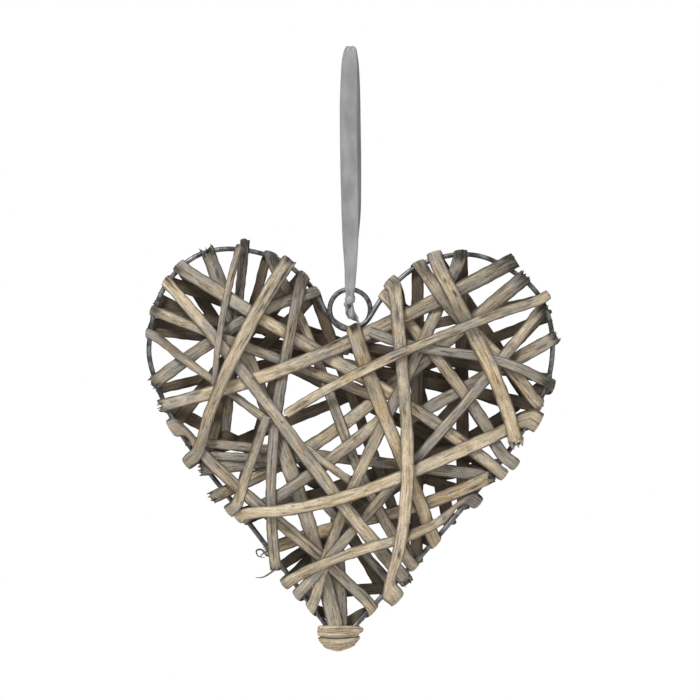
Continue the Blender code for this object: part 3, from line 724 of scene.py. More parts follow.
def makeCane(number, row, material):
    rng = np.random.default_rng(100 + number)
    sections, firstFront, lastFront = caneSections(row)
    if number in intoBinding:
        sections = downIntoBinding(sections, *intoBinding[number])
        added = intoBinding[number][0] == 0
        firstFront, lastFront = firstFront + added, lastFront + added
    values = np.array([[*c, *h, *n, t] for c, h, n, t in sections])
    at = lengthsTo(values[:, :3])
    fine = np.linspace(0, at[-1], max(8, int(at[-1] / willow["fineStep"])))
    rows = through(values, at, fine)
    centres, halves, normals, thick = rows[:, :3], rows[:, 3:6], rows[:, 6:9], rows[:, 9]
    normals /= np.linalg.norm(normals, axis=1)[:, None]
    ahead = np.gradient(centres, axis=0)
    ahead /= np.linalg.norm(ahead, axis=1)[:, None]
    runLength = at[lastFront] - at[firstFront]
    front = (fine - at[firstFront]) / runLength
    # the width wanders, and straight runs roll slowly
    phases = rng.uniform(0, 2 * math.pi, 8)
    wander = 1 + willow["widthWander"] * (
        0.6 * np.sin(fine * 90 + phases[0]) + 0.4 * np.sin(fine * 260 + phases[1])
    )
    halves = halves * np.minimum(wander, 1.03)[:, None]
    straight = np.abs(normals[:, 1]) ** 6
    roll = np.radians(willow["roll"]) * np.sin(fine * 55 + phases[2]) * straight
    widths = np.linalg.norm(halves, axis=1)
    halves = halves * np.cos(roll)[:, None] + normals * (widths * np.sin(roll))[:, None]
    # grooved bark, and wavy edges
    across, out = ringProfile(willow["ringPoints"]).T
    lines = groovesAlong(fine, across, rng)
    edgeWave = 0.00012 * np.sin(fine * rng.uniform(700, 1100) + rng.uniform(0, 6)) * np.sin(fine * 210)
    tops = (thick * (0.94 + 0.06 * np.sin(fine * 130 + phases[3])))[:, None] * out[None, :]
    tops = np.where(out[None, :] > 0.2, tops + lines, tops)
    atEdge = np.where(np.abs(across) > 0.9, 1, 0)
    reach = across[None, :] * (1 + atEdge[None, :] * edgeWave[:, None] / widths[:, None])
    points = (
        centres[:, None, :] + halves[:, None, :] * reach[..., None] + normals[:, None, :] * tops[..., None]
    )
    for cut, index, sense, fromEnd in (
        (row.startCut, 0, -1, fine), (row.endCut, -1, 1, fine[-1] - fine),
    ):
        jag = tornBack(across, endShapes[cut][0] * willow["rag"], rng)
        fade = np.clip(1 - fromEnd / willow["ragLength"], 0, 1) ** 2
        points += sense * ahead[index] * (fade[:, None] * jag[None, :])[..., None]
    shift = number * 0.37  # so that no two canes have the same grain
    mesh = CaneMesh()
    mesh.add(
        [Vector(p) for p in points.reshape(-1, 3)],
        ringFaces(len(fine), len(across)),
        [(s, a * w, shift) for s, w in zip(fine, widths) for a in across],
        np.repeat(front, len(across)),
        np.tile(across, len(fine)),
        np.tile(np.where(out < 0.13, 1.0, 0.0), len(fine)),
    )
    for cut, behind, index, sense, share in (
        (row.startCut, row.behindStart, 0, -1, -0.02), (row.endCut, row.behindEnd, -1, 1, 1.02),
    ):
        if behind is not None:
            continue
        torn, count, thin = endShapes[cut]
        centre, side, normal = Vector(centres[index]), Vector(halves[index]), Vector(normals[index])
        outward = Vector(ahead[index]) * sense
        half = side.length
        side.normalize()
        for k in range(count):
            a = -0.85 + 1.7 * (k + rng.uniform(0.2, 0.8)) / count
            long = torn * rng.uniform(0.6, 1.25)
            base = (
                centre + side * (a * half) - outward * (torn + splinterRoot)
                + normal * rng.uniform(0.0001, 0.0006)
            )
            new = splinter(
                base, outward, side, normal, long + splinterRoot,
                half * thin * rng.uniform(0.7, 1.4), splinterThickness,
                rng.uniform(-0.0007, 0.0007), rng.uniform(-0.0006, 0.0006),
            )
            strip = [
                (fine[index] + 0.004 * (j // splinterSides) / 5, a * half + 0.0004 * math.sin(j), shift)
                for j in range(len(new))
            ]
            mesh.add(new, ringFaces(len(splinterRings), splinterSides), strip, share, a)
    for path in looseFibres.get(number, ()):
        level = centres[-1][1] - fibre["lift"]
        curve = smoothThrough([np.array(place) * mm for place in path], 8)
        radii = [fibre["radius"] * (1 - 0.7 * k / (len(curve) - 1)) for k in range(len(curve))]
        new, faces = tube([Vector((x, level, z)) for x, z in curve], radii, fibre["sides"])
        strip = [(0.001 * (j // fibre["sides"]), 0.0003 * math.sin(j), shift) for j in range(len(new))]
        mesh.add(new, faces, strip, 1.0, 0.0)
    piece = addObject(f"willow_{number:02d}", mesh.points, mesh.faces, material)
    setAttribute(piece, "strip", mesh.strip)
    light, grey, warm = row.tone
    share, side = np.array(mesh.frontShare), np.array(mesh.across)
    slow = 0.13 * np.sin(share * rng.uniform(3, 6) + rng.uniform(0, 6))
    slow += 0.07 * np.sin(share * 17 + phases[4])
    setAttribute(piece, "tone", np.stack((light + slow, grey - slow * 0.6, warm + slow * 0.7), axis=1))
    setAttribute(piece, "stainAndShade", stainAndShadeOf(number, row, share, side, runLength))
    setAttribute(piece, "side", np.stack((side, mesh.inner, share), axis=1))
    attach(piece, f"willow_cane_{number:02d}")


# Canes that end inside the tip binding: number to which end, how far on and how far forward
intoBinding = {
    1: (0, 0.0045, 0.0022),
    7: (-1, 0.0045, 0.0026),
}

# Loose fibres at a torn end: what they are like, and cane number to paths of (x, z) in millimetres
fibre = {
    "radius": 0.00062,
    "sides": 6,
    "lift": 0.0006,  # in front of the cane's middle
}
looseFibres = {
    6: (
        ((-36.0, -242.2), (-39.6, -242.6), (-42.0, -239.9), (-44.6, -240.3), (-43.8, -242.9),
         (-40.6, -243.6)),
        ((-36.0, -241.0), (-39.0, -240.6), (-41.3, -241.6), (-43.2, -243.4)),
    ),
    20: (((-35.2, -248.4), (-37.2, -250.2), (-39.6, -251.9), (-42.0, -252.9), (-44.9, -253.0)),),
}

# Dark knots, bark patches and weathered ends, dark patches across the width at some folds, and
# painted shade at cane 25's start for the hollow of a curled end: cane number to
# (share of the front run, side, length mm, width, strength)
stainsAndShade = {
    2: ((0.0, 0, 9, 3, 0.9), (0.45, 0.5, 4, 0.3, 0.6), (0.97, -0.2, 5, 2, 0.5)),
    4: ((0.0, 0, 7, 3, 0.7),),
    6: ((0.1, 0.3, 5, 0.3, 0.6), (0.35, -0.4, 4, 0.3, 0.6)),
    7: ((0.0, 0, 8, 3, 0.95), (0.06, 0.4, 12, 0.5, 0.5), (0.93, -0.7, 9, 0.3, 0.5)),
    8: ((0.1, 0, 60, 3, 0.5),),
    9: ((0.0, 0, 9, 3, 0.85), (0.9, 0.5, 6, 0.3, 0.5)),
    10: ((0.0, 0, 5, 3, 0.85), (0.12, 0.2, 6, 0.3, 0.6), (0.4, -0.3, 5, 0.25, 0.6)),
    12: ((0.02, 0, 12, 3, 0.9), (0.2, 0, 22, 3, 0.6)),
    13: ((1.0, 0, 6, 3, 0.85), (0.5, 0.6, 12, 0.4, 0.5), (0.0, 0, 5, 3, 0.6)),
    14: ((0.05, 0.7, 7, 0.4, 0.6), (0.45, 0.6, 9, 0.3, 0.6)),
    15: ((0.0, 0, 4, 3, 0.7), (0.5, -0.4, 8, 0.3, 0.5)),
    16: ((0.0, -0.6, 4, 0.5, 0.8), (0.45, 0.4, 6, 0.25, 0.5), (0.8, 0.2, 5, 0.3, 0.5)),
    17: ((0.0, 0.2, 8, 0.8, 0.6), (0.95, 0.3, 6, 0.5, 0.6)),
    18: ((0.05, 0.6, 7, 0.4, 0.6), (0.95, 0.5, 8, 0.5, 0.7)),
    19: ((0.0, 0, 5, 3, 0.85), (0.06, 0.5, 6, 0.4, 0.6), (0.55, -0.5, 7, 0.3, 0.5)),
    20: ((0.0, 0, 8, 3, 0.7), (0.3, 0.5, 12, 0.4, 0.5)),
    21: ((1.0, 0, 15, 3, 0.9), (0.97, 0.4, 14, 0.6, 0.8), (0.1, 0.5, 5, 0.3, 0.7),
         (0.5, 0.7, 16, 0.3, 0.5), (0.62, 0.6, 9, 0.3, 0.5), (0.0, -0.6, 5, 0.6, 0.8)),
    22: ((0.02, 0, 7, 3, 0.6), (0.3, 0.6, 7, 0.3, 0.6), (0.8, -0.4, 6, 0.3, 0.6)),
    23: ((0.0, 0, 8, 3, 0.9), (0.15, -0.3, 6, 0.3, 0.5), (0.55, 0.4, 6, 0.3, 0.5)),
    24: ((0.0, 0, 6, 3, 0.8), (0.56, 0.1, 4.5, 0.32, 0.75), (0.45, -0.5, 7, 0.3, 0.5),
         (0.75, 0.5, 8, 0.3, 0.5)),
    # its first patch is painted shade: the black hollow under a curled end, which the mesh does not curl
    25: ((0.0, 0.1, 5.5, 0.75, 1.3), (0.12, 0.5, 6, 0.3, 0.6), (0.3, -0.4, 6, 0.3, 0.6),
         (0.62, 0.4, 7, 0.3, 0.5)),
    26: ((0.0, 0.5, 4, 0.5, 0.7), (0.38, 0.7, 10, 0.3, 0.6), (0.47, 0.2, 1.3, 0.2, 0.8),
         (0.75, 0.6, 8, 0.3, 0.5)),
    27: ((0.1, 0.6, 10, 0.5, 0.6), (0.5, -0.6, 14, 0.5, 0.5)),
    28: ((0.84, 0, 1.6, 0.3, 0.9), (0.3, 0.4, 8, 0.3, 0.5), (1.0, 0, 6, 3, 0.6)),
    29: ((0.3, -0.2, 3, 0.25, 0.55), (0.78, 0.3, 4, 0.25, 0.55)),
    30: ((0.15, 0.6, 6, 0.4, 0.5),),
    31: ((0.0, 0, 5, 1.2, 0.9), (0.05, 0.5, 9, 0.3, 0.7), (0.2, -0.2, 5, 0.25, 0.75),
         (0.27, 0.2, 4, 0.3, 0.7), (0.42, 0.4, 8, 0.25, 0.7), (0.62, -0.3, 6, 0.25, 0.6)),
    32: ((0.03, 0.4, 6, 0.4, 0.6), (0.13, -0.1, 2.4, 0.35, 0.85), (0.22, 0.35, 2.8, 0.3, 0.9),
         (0.3, -0.5, 5, 0.25, 0.6), (0.45, 0.3, 7, 0.2, 0.7), (0.98, 0, 2, 0.3, 0.6)),
    33: ((0.0, 0.3, 5, 0.8, 0.6), (0.11, 0, 5, 0.35, 0.8), (0.2, 0.4, 6, 0.25, 0.6),
         (0.42, -0.3, 3, 0.25, 0.7), (0.55, 0.2, 4, 0.25, 0.6), (0.88, 0.1, 3, 0.3, 0.85)),
    34: ((0.07, 0.4, 5, 0.4, 0.6), (0.2, -0.5, 7, 0.3, 0.7), (0.33, 0.4, 5, 0.3, 0.7),
         (0.43, -0.3, 6, 0.3, 0.8), (0.56, 0.3, 7, 0.35, 0.7), (0.68, -0.4, 6, 0.3, 0.8),
         (0.8, 0.3, 5, 0.4, 0.7), (0.93, 0, 6, 0.6, 0.7)),
}

# Long cracks: cane number to (from share, to share, side, width, strength)
grooves = {
    5: ((0.0, 1.0, 0.1, 0.14, 0.6),),
    13: ((0.3, 0.9, 0.5, 0.12, 0.6),),
    18: ((0.1, 0.9, 0.2, 0.16, 0.75),),
    20: ((0.1, 0.98, -0.15, 0.18, 0.7),),
    21: ((0.45, 0.75, 0.7, 0.14, 0.7),),
    23: ((0.2, 0.8, 0.15, 0.13, 0.7),),
    24: ((0.0, 0.3, -0.2, 0.14, 0.7),),
    27: ((0.05, 0.6, 0.3, 0.2, 0.7),),
    28: ((0.45, 0.7, 0.5, 0.12, 0.5),),
    31: ((0.02, 0.3, 0.45, 0.14, 0.75),),
}


# Wire

def wirePath(step, ringSteps):
    # (place in the heart's plane, depth) along the wire, once round the ring at the notch
    depth = wireRadius + willow["clearance"] / 2 + wire["apart"]
    begin = wire["halvesBegin"]
    halves = []
    for side in (-1, 1):
        total = lengthsAlong[side][-1]
        halves.append([
            (wirePlace(side * s), side * depth * max(0.0, 1 - (s - begin) / wire["passing"]))
            for s in np.linspace(begin, total, int(total / step))
        ])
    ring = []
    for k in range(ringSteps + 1):
        angle = -math.pi / 2 + 2 * math.pi * k / ringSteps
        plan = (0.0, wire["ringRise"]) + wire["ringRadius"] * np.array((math.cos(angle), math.sin(angle)))
        ring.append((plan, -depth + 2 * depth * k / ringSteps))
    return [*reversed(halves[0]), *ring, *halves[1][:-1]]


def tube(path, radius, sides, closed=False):
    # radius is one value, or a list with one for each point of the path
    points = []
    count = len(path)
    for i, point in enumerate(path):
        if closed:
            ahead = path[(i + 1) % count] - path[i - 1]
        else:
            ahead = path[min(i + 1, count - 1)] - path[max(i - 1, 0)]
        ahead.normalize()
        aside = ahead.cross(Vector((0, -1, 0)))
        if aside.length < 0.1:
            aside = ahead.cross(Vector((1, 0, 0)))
        aside.normalize()
        up = aside.cross(ahead).normalized()
        wide = radius[i] if isinstance(radius, list) else radius
        turns = [2 * math.pi * k / sides for k in range(sides)]
        points += [point + wide * (math.cos(turn) * aside + math.sin(turn) * up) for turn in turns]
    return points, ringFaces(count, sides, closed=closed)


def makeWire(material):
    raw = np.array([[*toWorld(p, h)] for p, h in wirePath(*wire["fine"])])
    # soften the kink where ring and lobes meet
    for _ in range(3):
        raw = (np.roll(raw, 1, axis=0) + raw * 2 + np.roll(raw, -1, axis=0)) / 4
    points, faces = tube([Vector(p) for p in raw], wireRadius, wire["sides"], closed=True)
    piece = addObject("bent_wire", points, faces, material)
    attach(piece, "wire_frame")


def layWire():
    # the canes are laid on the solids' own, coarser wire
    for plan, height in wirePath(*wire["coarse"]):
        around = np.array([
            plan + wire["feltRadius"] * wireRadius * np.array((math.cos(a), math.sin(a)))
            for a in np.linspace(0, 2 * math.pi, 12)
        ] + [plan])
        for layer in (1, -1):
            heightMaps[layer].lay(around, np.full(len(around), wireRadius + layer * height))


# Tip binding: a strip of cane wound round the tip, tapering to a cup below

binding = {
    "width": 0.1154 * wire["width"],
    "depth": 0.0116,
    "height": 0.0134,
    "wall": 0.0012,
    "above": 0.0447 * wire["height"],  # rim above the wire's tip
    "aside": 0.0006,
    "sides": 72,
    "turnsHeight": 0.866,  # share of the height that the turns take
    # how far down the cup, and how wide there, with the grooves between the turns
    "turns": (
        (0.0, 0.93), (0.015, 0.965), (0.05, 0.985), (0.14, 0.995), (0.24, 0.99), (0.33, 0.975),
        (0.37, 0.95), (0.395, 0.88), (0.42, 0.86), (0.445, 0.9), (0.47, 0.955), (0.52, 0.965),
        (0.6, 0.93), (0.68, 0.86), (0.74, 0.79), (0.765, 0.74), (0.79, 0.75), (0.84, 0.72),
        (0.9, 0.6), (0.96, 0.42), (1.0, 0.2),
    ),
    "upperTurn": 0.385,  # share of the height where the upper turn ends
    # dark lines: share of the height, how wide, how strong at the back, how much stronger in front
    "lines": (
        (0.4, 0.035, 0.5, 0.5), (0.71, 0.02, 0.7, 0.0), (0.9, 0.03, 0.45, 0.45), (0.05, 0.02, 0.62, 0.0),
    ),
    "tone": (0.62, 0.3, 0.6),
}


def makeBinding(material):
    tip = toWorld(wirePlace(1.0), 0.0)
    middle = tip.x + binding["aside"]
    rim = tip.z + binding["above"]
    sides = binding["sides"]
    rings = [
        (rim - down * binding["turnsHeight"] * binding["height"], wide, 0.0)
        for down, wide in binding["turns"]
    ]
    floor = tip.z - wireRadius - willow["clearance"] - 0.0002
    inner = [
        (rim + (floor - rim) * share, 0.93 - 0.42 * share, binding["wall"])
        for share in (0.0, 0.3, 0.65, 1.0)
    ]
    points, strip, stainAndShade = [], [], []
    for row, (z, wide, wall) in enumerate([*reversed(rings), *inner]):
        outside = row < len(rings)
        for k in range(sides):
            a = 2 * math.pi * k / sides
            wave = 1 + (0.018 * math.sin(3 * a + 1 + 900 * (rim - z)) if outside else 0)
            tilt = 0.0007 * math.sin(a + 0.6) if outside and z < rim - 0.0005 else 0.0
            ridge = 0.00012 * math.sin(5200 * (rim - z + tilt) + 2 * math.sin(2 * a)) if outside else 0.0
            halfWide = min(wide * wave, 1.0) * binding["width"] / 2 - wall + ridge
            halfDeep = min(wide * wave, 1.0) * binding["depth"] / 2 - wall + ridge
            share = (rim - z) / binding["height"]
            level = z + tilt
            if outside and share < binding["upperTurn"]:
                # the upper turn's end is cut to a rounded point at the right
                pinch = 0.6 * max(0.0, (math.cos(a) - 0.72) / 0.28)
                level += pinch * (rim - 0.21 * binding["height"] - z)
            elif outside and math.cos(a) > 0:
                halfWide *= 1 - 0.13 * math.cos(a)
            points.append(Vector((middle + halfWide * math.cos(a), halfDeep * math.sin(a), level)))
            strip.append((a * 0.008, z, 3.1))
            inFront = max(0.0, -math.sin(a)) ** 4
            dark = max(
                (least + more * inFront) * math.exp(-((share - at) / spread) ** 2)
                for at, spread, least, more in binding["lines"]
            )
            # the inside of the cup is painted dark: painted shade in its hollow
            stainAndShade.append(min(1.0, dark + (0.75 if not outside else 0)))
    piece = addObject("tip_cup", points, ringFaces(len(rings) + len(inner), sides), material)
    setAttribute(piece, "strip", strip)
    setAttribute(piece, "tone", [binding["tone"]] * len(points))
    setAttribute(piece, "side", [(0.0, 0.0, 0.5)] * len(points))
    setAttribute(piece, "stainAndShade", stainAndShade)
    attach(piece, "tip_binding")


# Ribbon: one woven satin band, looped through the ring, gathered and knotted inside it

ringUnder = ringTop - 2 * wireRadius
knotZ = ringUnder - ribbon["knotDrop"]


def thicken(piece):
    bpy.context.view_layer.objects.active = piece
    solid = piece.modifiers.new("cloth thickness", "SOLIDIFY")
    solid.thickness = ribbon["thickness"]
    solid.offset = 0
    bpy.ops.object.modifier_apply(modifier=solid.name)


def makeRibbon(material):
    # (height, depth, sideways, width, turn in degrees) down each strand
    frontStrand = [
        (0.0004, 0.0000, 0.0003, 0.0040, 14), (-0.0004, -0.0009, 0.0003, 0.0050, 14),
        (-0.0022, -0.0016, 0.0001, 0.0064, 13), (-0.0100, -0.0020, -0.0003, 0.0080, 12),
        (-0.0300, -0.0022, -0.0006, 0.0086, 10), (-0.0550, -0.0023, -0.0004, 0.0086, 8),
        (-0.0750, -0.0021, 0.0000, 0.0084, 6), (-0.0920, -0.0018, 0.0002, 0.0076, 2),
        (-0.1040, -0.0016, 0.0003, 0.0060, 0), (ringTop + 0.0020, -0.0018, 0.0002, 0.0050, 0),
        (ringTop - wireRadius, -0.0021, 0.0, 0.0048, 0), (ringUnder - 0.0002, -0.0017, 0.0, 0.0044, 0),
        (knotZ, -0.0009, 0.0, 0.0036, 0),
    ]
    backStrand = [
        (0.0004, 0.0003, 0.0004, 0.0040, 14), (-0.0004, 0.0011, 0.0005, 0.0048, 15),
        (-0.0022, 0.0018, 0.0005, 0.0060, 16), (-0.0100, 0.0020, 0.0008, 0.0074, 17),
        (-0.0300, 0.0021, 0.0012, 0.0080, 16), (-0.0550, 0.0021, 0.0014, 0.0080, 14),
        (-0.0750, 0.0021, 0.0014, 0.0078, 9), (-0.0920, 0.0018, 0.0006, 0.0068, 4),
        (-0.1040, 0.0016, 0.0002, 0.0056, 0), (ringTop + 0.0020, 0.0018, 0.0, 0.0048, 0),
        (ringTop - wireRadius, 0.0021, 0.0, 0.0046, 0), (ringUnder - 0.0002, 0.0017, 0.0, 0.0042, 0),
        (knotZ, 0.0009, 0.0, 0.0036, 0),
    ]
    rows = np.array([*reversed(backStrand), *frontStrand])
    rows[:, 4] = np.radians(rows[:, 4])
    steps = np.r_[0, np.cumsum(np.linalg.norm(np.diff(rows[:, :3], axis=0), axis=1) + 1e-6)]
    fine = np.linspace(0, steps[-1], ribbon["rings"])
    rows = through(rows, steps, fine)
    columns = ribbon["columns"]
    points, satin = [], []
    for s, (z, y, x, width, turn) in zip(fine, rows):
        gather = max(0.0, (0.0070 - width) / 0.0030)
        c, t = math.cos(turn), math.sin(turn)
        for k in range(columns):
            a = -1 + 2 * k / (columns - 1)
            fold = 0.0004 * gather * math.sin(a * 6.5 + 90 * z) + 0.00016 * math.sin(a * 2.4 + s * 60)
            fold += 0.0001 * math.sin(a * 3.7 - s * 170)
            wide = a * width / 2
            points.append(Vector((x + c * wide - t * fold, y + t * wide + c * fold, z)))
            satin.append((s, a, 0.0))
    piece = addObject("satin_loop", points, gridFaces(len(fine), columns), material)
    setAttribute(piece, "satin", satin)
    thicken(piece)
    attach(piece, "hanging_ribbon")
    return piece


def makeKnot(material):
    # one turn of gathered ribbon round the others
    points, satin = [], []
    rings, sides = 44, 14
    for i in range(rings):
        a = 2 * math.pi * i / rings
        centre = Vector((0.0017 * math.cos(a), 0.0010 * math.sin(a), knotZ + 0.0006 * math.sin(a + 0.7)))
        outward = Vector((math.cos(a), 0.75 * math.sin(a), 0)).normalized()
        for k in range(sides):
            b = 2 * math.pi * k / sides
            crease = 1 + 0.1 * math.sin(5 * b + 2 * a)
            points.append(
                centre + outward * (0.0008 * math.cos(b) * crease)
                + Vector((0, 0, 1)) * (0.0021 * math.sin(b) * crease)
            )
            satin.append((a * 0.003, math.sin(b), 1.0))
    piece = addObject("satin_knot", points, ringFaces(rings, sides, closed=True), material)
    setAttribute(piece, "satin", satin)
    attach(piece, "hanging_ribbon")
    return piece


def makeTail(material):
    # crumpled, and it fans out to the right, with its left edge nearly upright
    points, satin = [], []
    columns, rows = 11, 40
    for i in range(rows):
        share = i / (rows - 1)
        width = 0.0037 + 0.0022 * share + 0.0004 * math.sin(share * 11)
        aside = -0.0008 + 0.0026 * share**1.4
        middle = Vector((aside, 0.0005 * math.sin(share * 7), knotZ - 0.0015 - 0.0086 * share))
        for k in range(columns):
            a = -1 + 2 * k / (columns - 1)
            crumple = 0.0011 * math.sin(a * 4.6 + share * 6) * (1 - 0.3 * share)
            crumple += 0.00045 * math.sin(a * 9 - share * 17)
            points.append(middle + Vector((a * width / 2, crumple, -0.0011 * a * share)))
            satin.append((share * 0.009, a, 2.0))
    piece = addObject("satin_tail", points, gridFaces(rows, columns), material)
    setAttribute(piece, "satin", satin)
    thicken(piece)
    attach(piece, "hanging_ribbon")
    return piece


# Materials

def newGroup(name, inputs, outputs):
    group = bpy.data.node_groups.new(name, "ShaderNodeTree")
    for label, kind in inputs:
        group.interface.new_socket(name=label, in_out="INPUT", socket_type=kind)
    for label, kind in outputs:
        group.interface.new_socket(name=label, in_out="OUTPUT", socket_type=kind)
    return group, group.nodes.new("NodeGroupInput"), group.nodes.new("NodeGroupOutput")


def addNode(tree, kind, **values):
    node = tree.nodes.new(kind)
    for key, value in values.items():
        setattr(node, key, value)
    return node


def newMaterial(name):
    material = bpy.data.materials.new(name)
    material.use_nodes = True
    return material, material.node_tree, material.node_tree.nodes["Principled BSDF"]


def attribute(tree, name, output="Vector"):
    return addNode(tree, "ShaderNodeAttribute", attribute_name=name).outputs[output]


def separate(tree, vector):
    node = addNode(tree, "ShaderNodeSeparateXYZ")
    tree.links.new(vector, node.inputs[0])
    return node.outputs


def addBump(tree, shader, height, strength, distance):
    bump = addNode(tree, "ShaderNodeBump")
    bump.inputs["Strength"].default_value = strength
    bump.inputs["Distance"].default_value = distance
    tree.links.new(height, bump.inputs["Height"])
    tree.links.new(bump.outputs["Normal"], shader.inputs["Normal"])


def mathNode(tree, operation, first, second=None, clamp=False):
    node = addNode(tree, "ShaderNodeMath", operation=operation, use_clamp=clamp)
    for socket, value in zip(node.inputs, (first, second)):
        if value is None:
            continue
        if isinstance(value, (int, float)):
            socket.default_value = value
        else:
            tree.links.new(value, socket)
    return node.outputs[0]


def mixColour(tree, factor, first, second):
    node = addNode(tree, "ShaderNodeMix", data_type="RGBA")
    for socket, value in ((node.inputs[0], factor), (node.inputs[6], first), (node.inputs[7], second)):
        if isinstance(value, (int, float)):
            socket.default_value = value
        elif isinstance(value, tuple):
            socket.default_value = (*value, 1.0)
        else:
            tree.links.new(value, socket)
    return node.outputs[2]


def stretchedNoise(tree, vector, scale, detail, roughness=0.6, distortion=0.0):
    mapping = addNode(tree, "ShaderNodeMapping")
    mapping.inputs["Scale"].default_value = scale
    tree.links.new(vector, mapping.inputs["Vector"])
    grain = addNode(tree, "ShaderNodeTexNoise")
    grain.inputs["Scale"].default_value = 1.0
    grain.inputs["Detail"].default_value = detail
    grain.inputs["Roughness"].default_value = roughness
    grain.inputs["Distortion"].default_value = distortion
    tree.links.new(mapping.outputs[0], grain.inputs["Vector"])
    return grain.outputs["Fac"]


def band(tree, value, low, high):
    node = addNode(tree, "ShaderNodeMapRange", interpolation_type="SMOOTHSTEP")
    node.inputs["From Min"].default_value = low
    node.inputs["From Max"].default_value = high
    tree.links.new(value, node.inputs["Value"])
    return node.outputs["Result"]


def makeGrainGroup():
    group, start, end = newGroup(
        "long grain",
        (("Strip", "NodeSocketVector"),),
        (("Fibre", "NodeSocketFloat"), ("Streak", "NodeSocketFloat"), ("Crack", "NodeSocketFloat"),
         ("Dash", "NodeSocketFloat"), ("Height", "NodeSocketFloat")),
    )
    strip = start.outputs["Strip"]
    times, plus = partial(mathNode, group, "MULTIPLY"), partial(mathNode, group, "ADD")
    fibre = stretchedNoise(group, strip, (150, 4300, 7), 5, 0.7)
    streak = stretchedNoise(group, strip, (42, 900, 7), 4, 0.6, 0.25)
    line = stretchedNoise(group, strip, (30, 1500, 9), 2, 0.5)
    off = mathNode(group, "ABSOLUTE", mathNode(group, "SUBTRACT", line, 0.5))
    crack = mathNode(group, "SUBTRACT", 1.0, band(group, off, 0.004, 0.02))
    dash = band(group, stretchedNoise(group, strip, (310, 2300, 11), 3, 0.6), 0.6, 0.68)
    height = mathNode(
        group, "SUBTRACT",
        plus(times(fibre, 0.7), times(streak, 0.6)), times(mathNode(group, "MAXIMUM", crack, dash), 0.3),
    )
    for label, value in (
        ("Fibre", fibre), ("Streak", streak), ("Crack", crack), ("Dash", dash), ("Height", height),
    ):
        group.links.new(value, end.inputs[label])
    return group


willowColours = {
    "pale": (0.76, 0.635, 0.455),
    "mid": (0.215, 0.163, 0.11),
    "grey": (0.285, 0.272, 0.25),
    "ochre": (0.50, 0.335, 0.145),
    # the inside's pith colour, darkened as painted shade
    "pithAndShade": (0.115, 0.083, 0.054),
    "bark": (0.125, 0.11, 0.098),
    "dark": (0.02, 0.016, 0.012),
}


def makeWillow(grain):
    material, tree, shader = newMaterial("weathered willow")
    times, plus = partial(mathNode, tree, "MULTIPLY"), partial(mathNode, tree, "ADD")
    darker = partial(mathNode, tree, "MAXIMUM")
    strip = attribute(tree, "strip")
    lightness, greyness, warmth = separate(tree, attribute(tree, "tone"))
    across, inner, _ = separate(tree, attribute(tree, "side"))
    stainAndShade = attribute(tree, "stainAndShade", "Fac")
    place = addNode(tree, "ShaderNodeTexCoord").outputs["Object"]
    long = addNode(tree, "ShaderNodeGroup", node_tree=grain)
    tree.links.new(strip, long.inputs["Strip"])
    fibre, streak, crack, dash, height = long.outputs
    patches = stretchedNoise(tree, place, (85, 85, 85), 4, 0.65)
    blots = stretchedNoise(tree, strip, (95, 420, 5), 4, 0.6)
    specks = stretchedNoise(tree, strip, (1500, 2200, 3), 2, 0.5)
    # light to dark along the fibres, and from cane to cane
    light = plus(times(streak, 2.1), times(fibre, 2.0))
    light = plus(light, times(patches, 1.3))
    light = plus(light, times(lightness, 1.2))
    light = plus(light, -2.72, clamp=True)
    base = mixColour(tree, light, willowColours["mid"], willowColours["pale"])
    greyed = times(band(tree, plus(patches, times(greyness, 0.34)), 0.57, 0.76), 0.72)
    base = mixColour(tree, greyed, base, willowColours["grey"])
    warm = times(band(tree, plus(blots, times(warmth, 0.34)), 0.67, 0.83), 0.5)
    base = mixColour(tree, warm, base, willowColours["ochre"])
    # the flat inside of a split cane is painted very dark brown: its pith, darkened further as painted
    # shade for the back runs lying behind the front canes
    base = mixColour(tree, times(inner, plus(times(streak, 0.5), 0.62)), base, willowColours["pithAndShade"])
    # cracks, dashes, specks and blots, and painted shade darkening both long edges where the rounded cane
    # turns from the light
    wearAndEdgeShade = darker(times(crack, 0.62), times(dash, 0.72))
    wearAndEdgeShade = darker(wearAndEdgeShade, times(band(tree, specks, 0.62, 0.72), 0.6))
    # painted shade: darker towards both long edges of the cane
    rim = band(tree, plus(mathNode(tree, "ABSOLUTE", across), times(blots, 0.45)), 0.86, 1.22)
    wearAndEdgeShade = darker(wearAndEdgeShade, times(rim, 0.8))
    blotted = band(tree, mathNode(tree, "SUBTRACT", blots, times(lightness, 0.12)), 0.53, 0.64)
    wearAndEdgeShade = darker(wearAndEdgeShade, times(blotted, 0.6))
    base = mixColour(tree, wearAndEdgeShade, base, willowColours["dark"])
    # stains: bark left on and weathered ends, with ragged edges and black hearts; the same marks carry
    # painted shade in the cup's hollow and in the curl at cane 25's start
    ragged = plus(times(fibre, 2.6), times(streak, 1.2))
    ragged = plus(times(stainAndShade, 1.2), plus(plus(ragged, times(blots, 1.2)), -2.6))
    base = mixColour(tree, times(band(tree, ragged, 0.25, 0.6), 0.72), base, willowColours["bark"])
    base = mixColour(tree, times(band(tree, ragged, 0.58, 0.95), 0.92), base, willowColours["dark"])
    tree.links.new(base, shader.inputs["Base Color"])
    tree.links.new(plus(times(fibre, 0.3), 0.5), shader.inputs["Roughness"])
    shader.inputs["Specular IOR Level"].default_value = 0.35
    addBump(tree, shader, height, 1.0, 0.0005)
    return material


steelColours = {
    "dark": (0.06, 0.06, 0.06),
    "light": (0.25, 0.25, 0.248),
    "speck": (0.05, 0.047, 0.044),
}


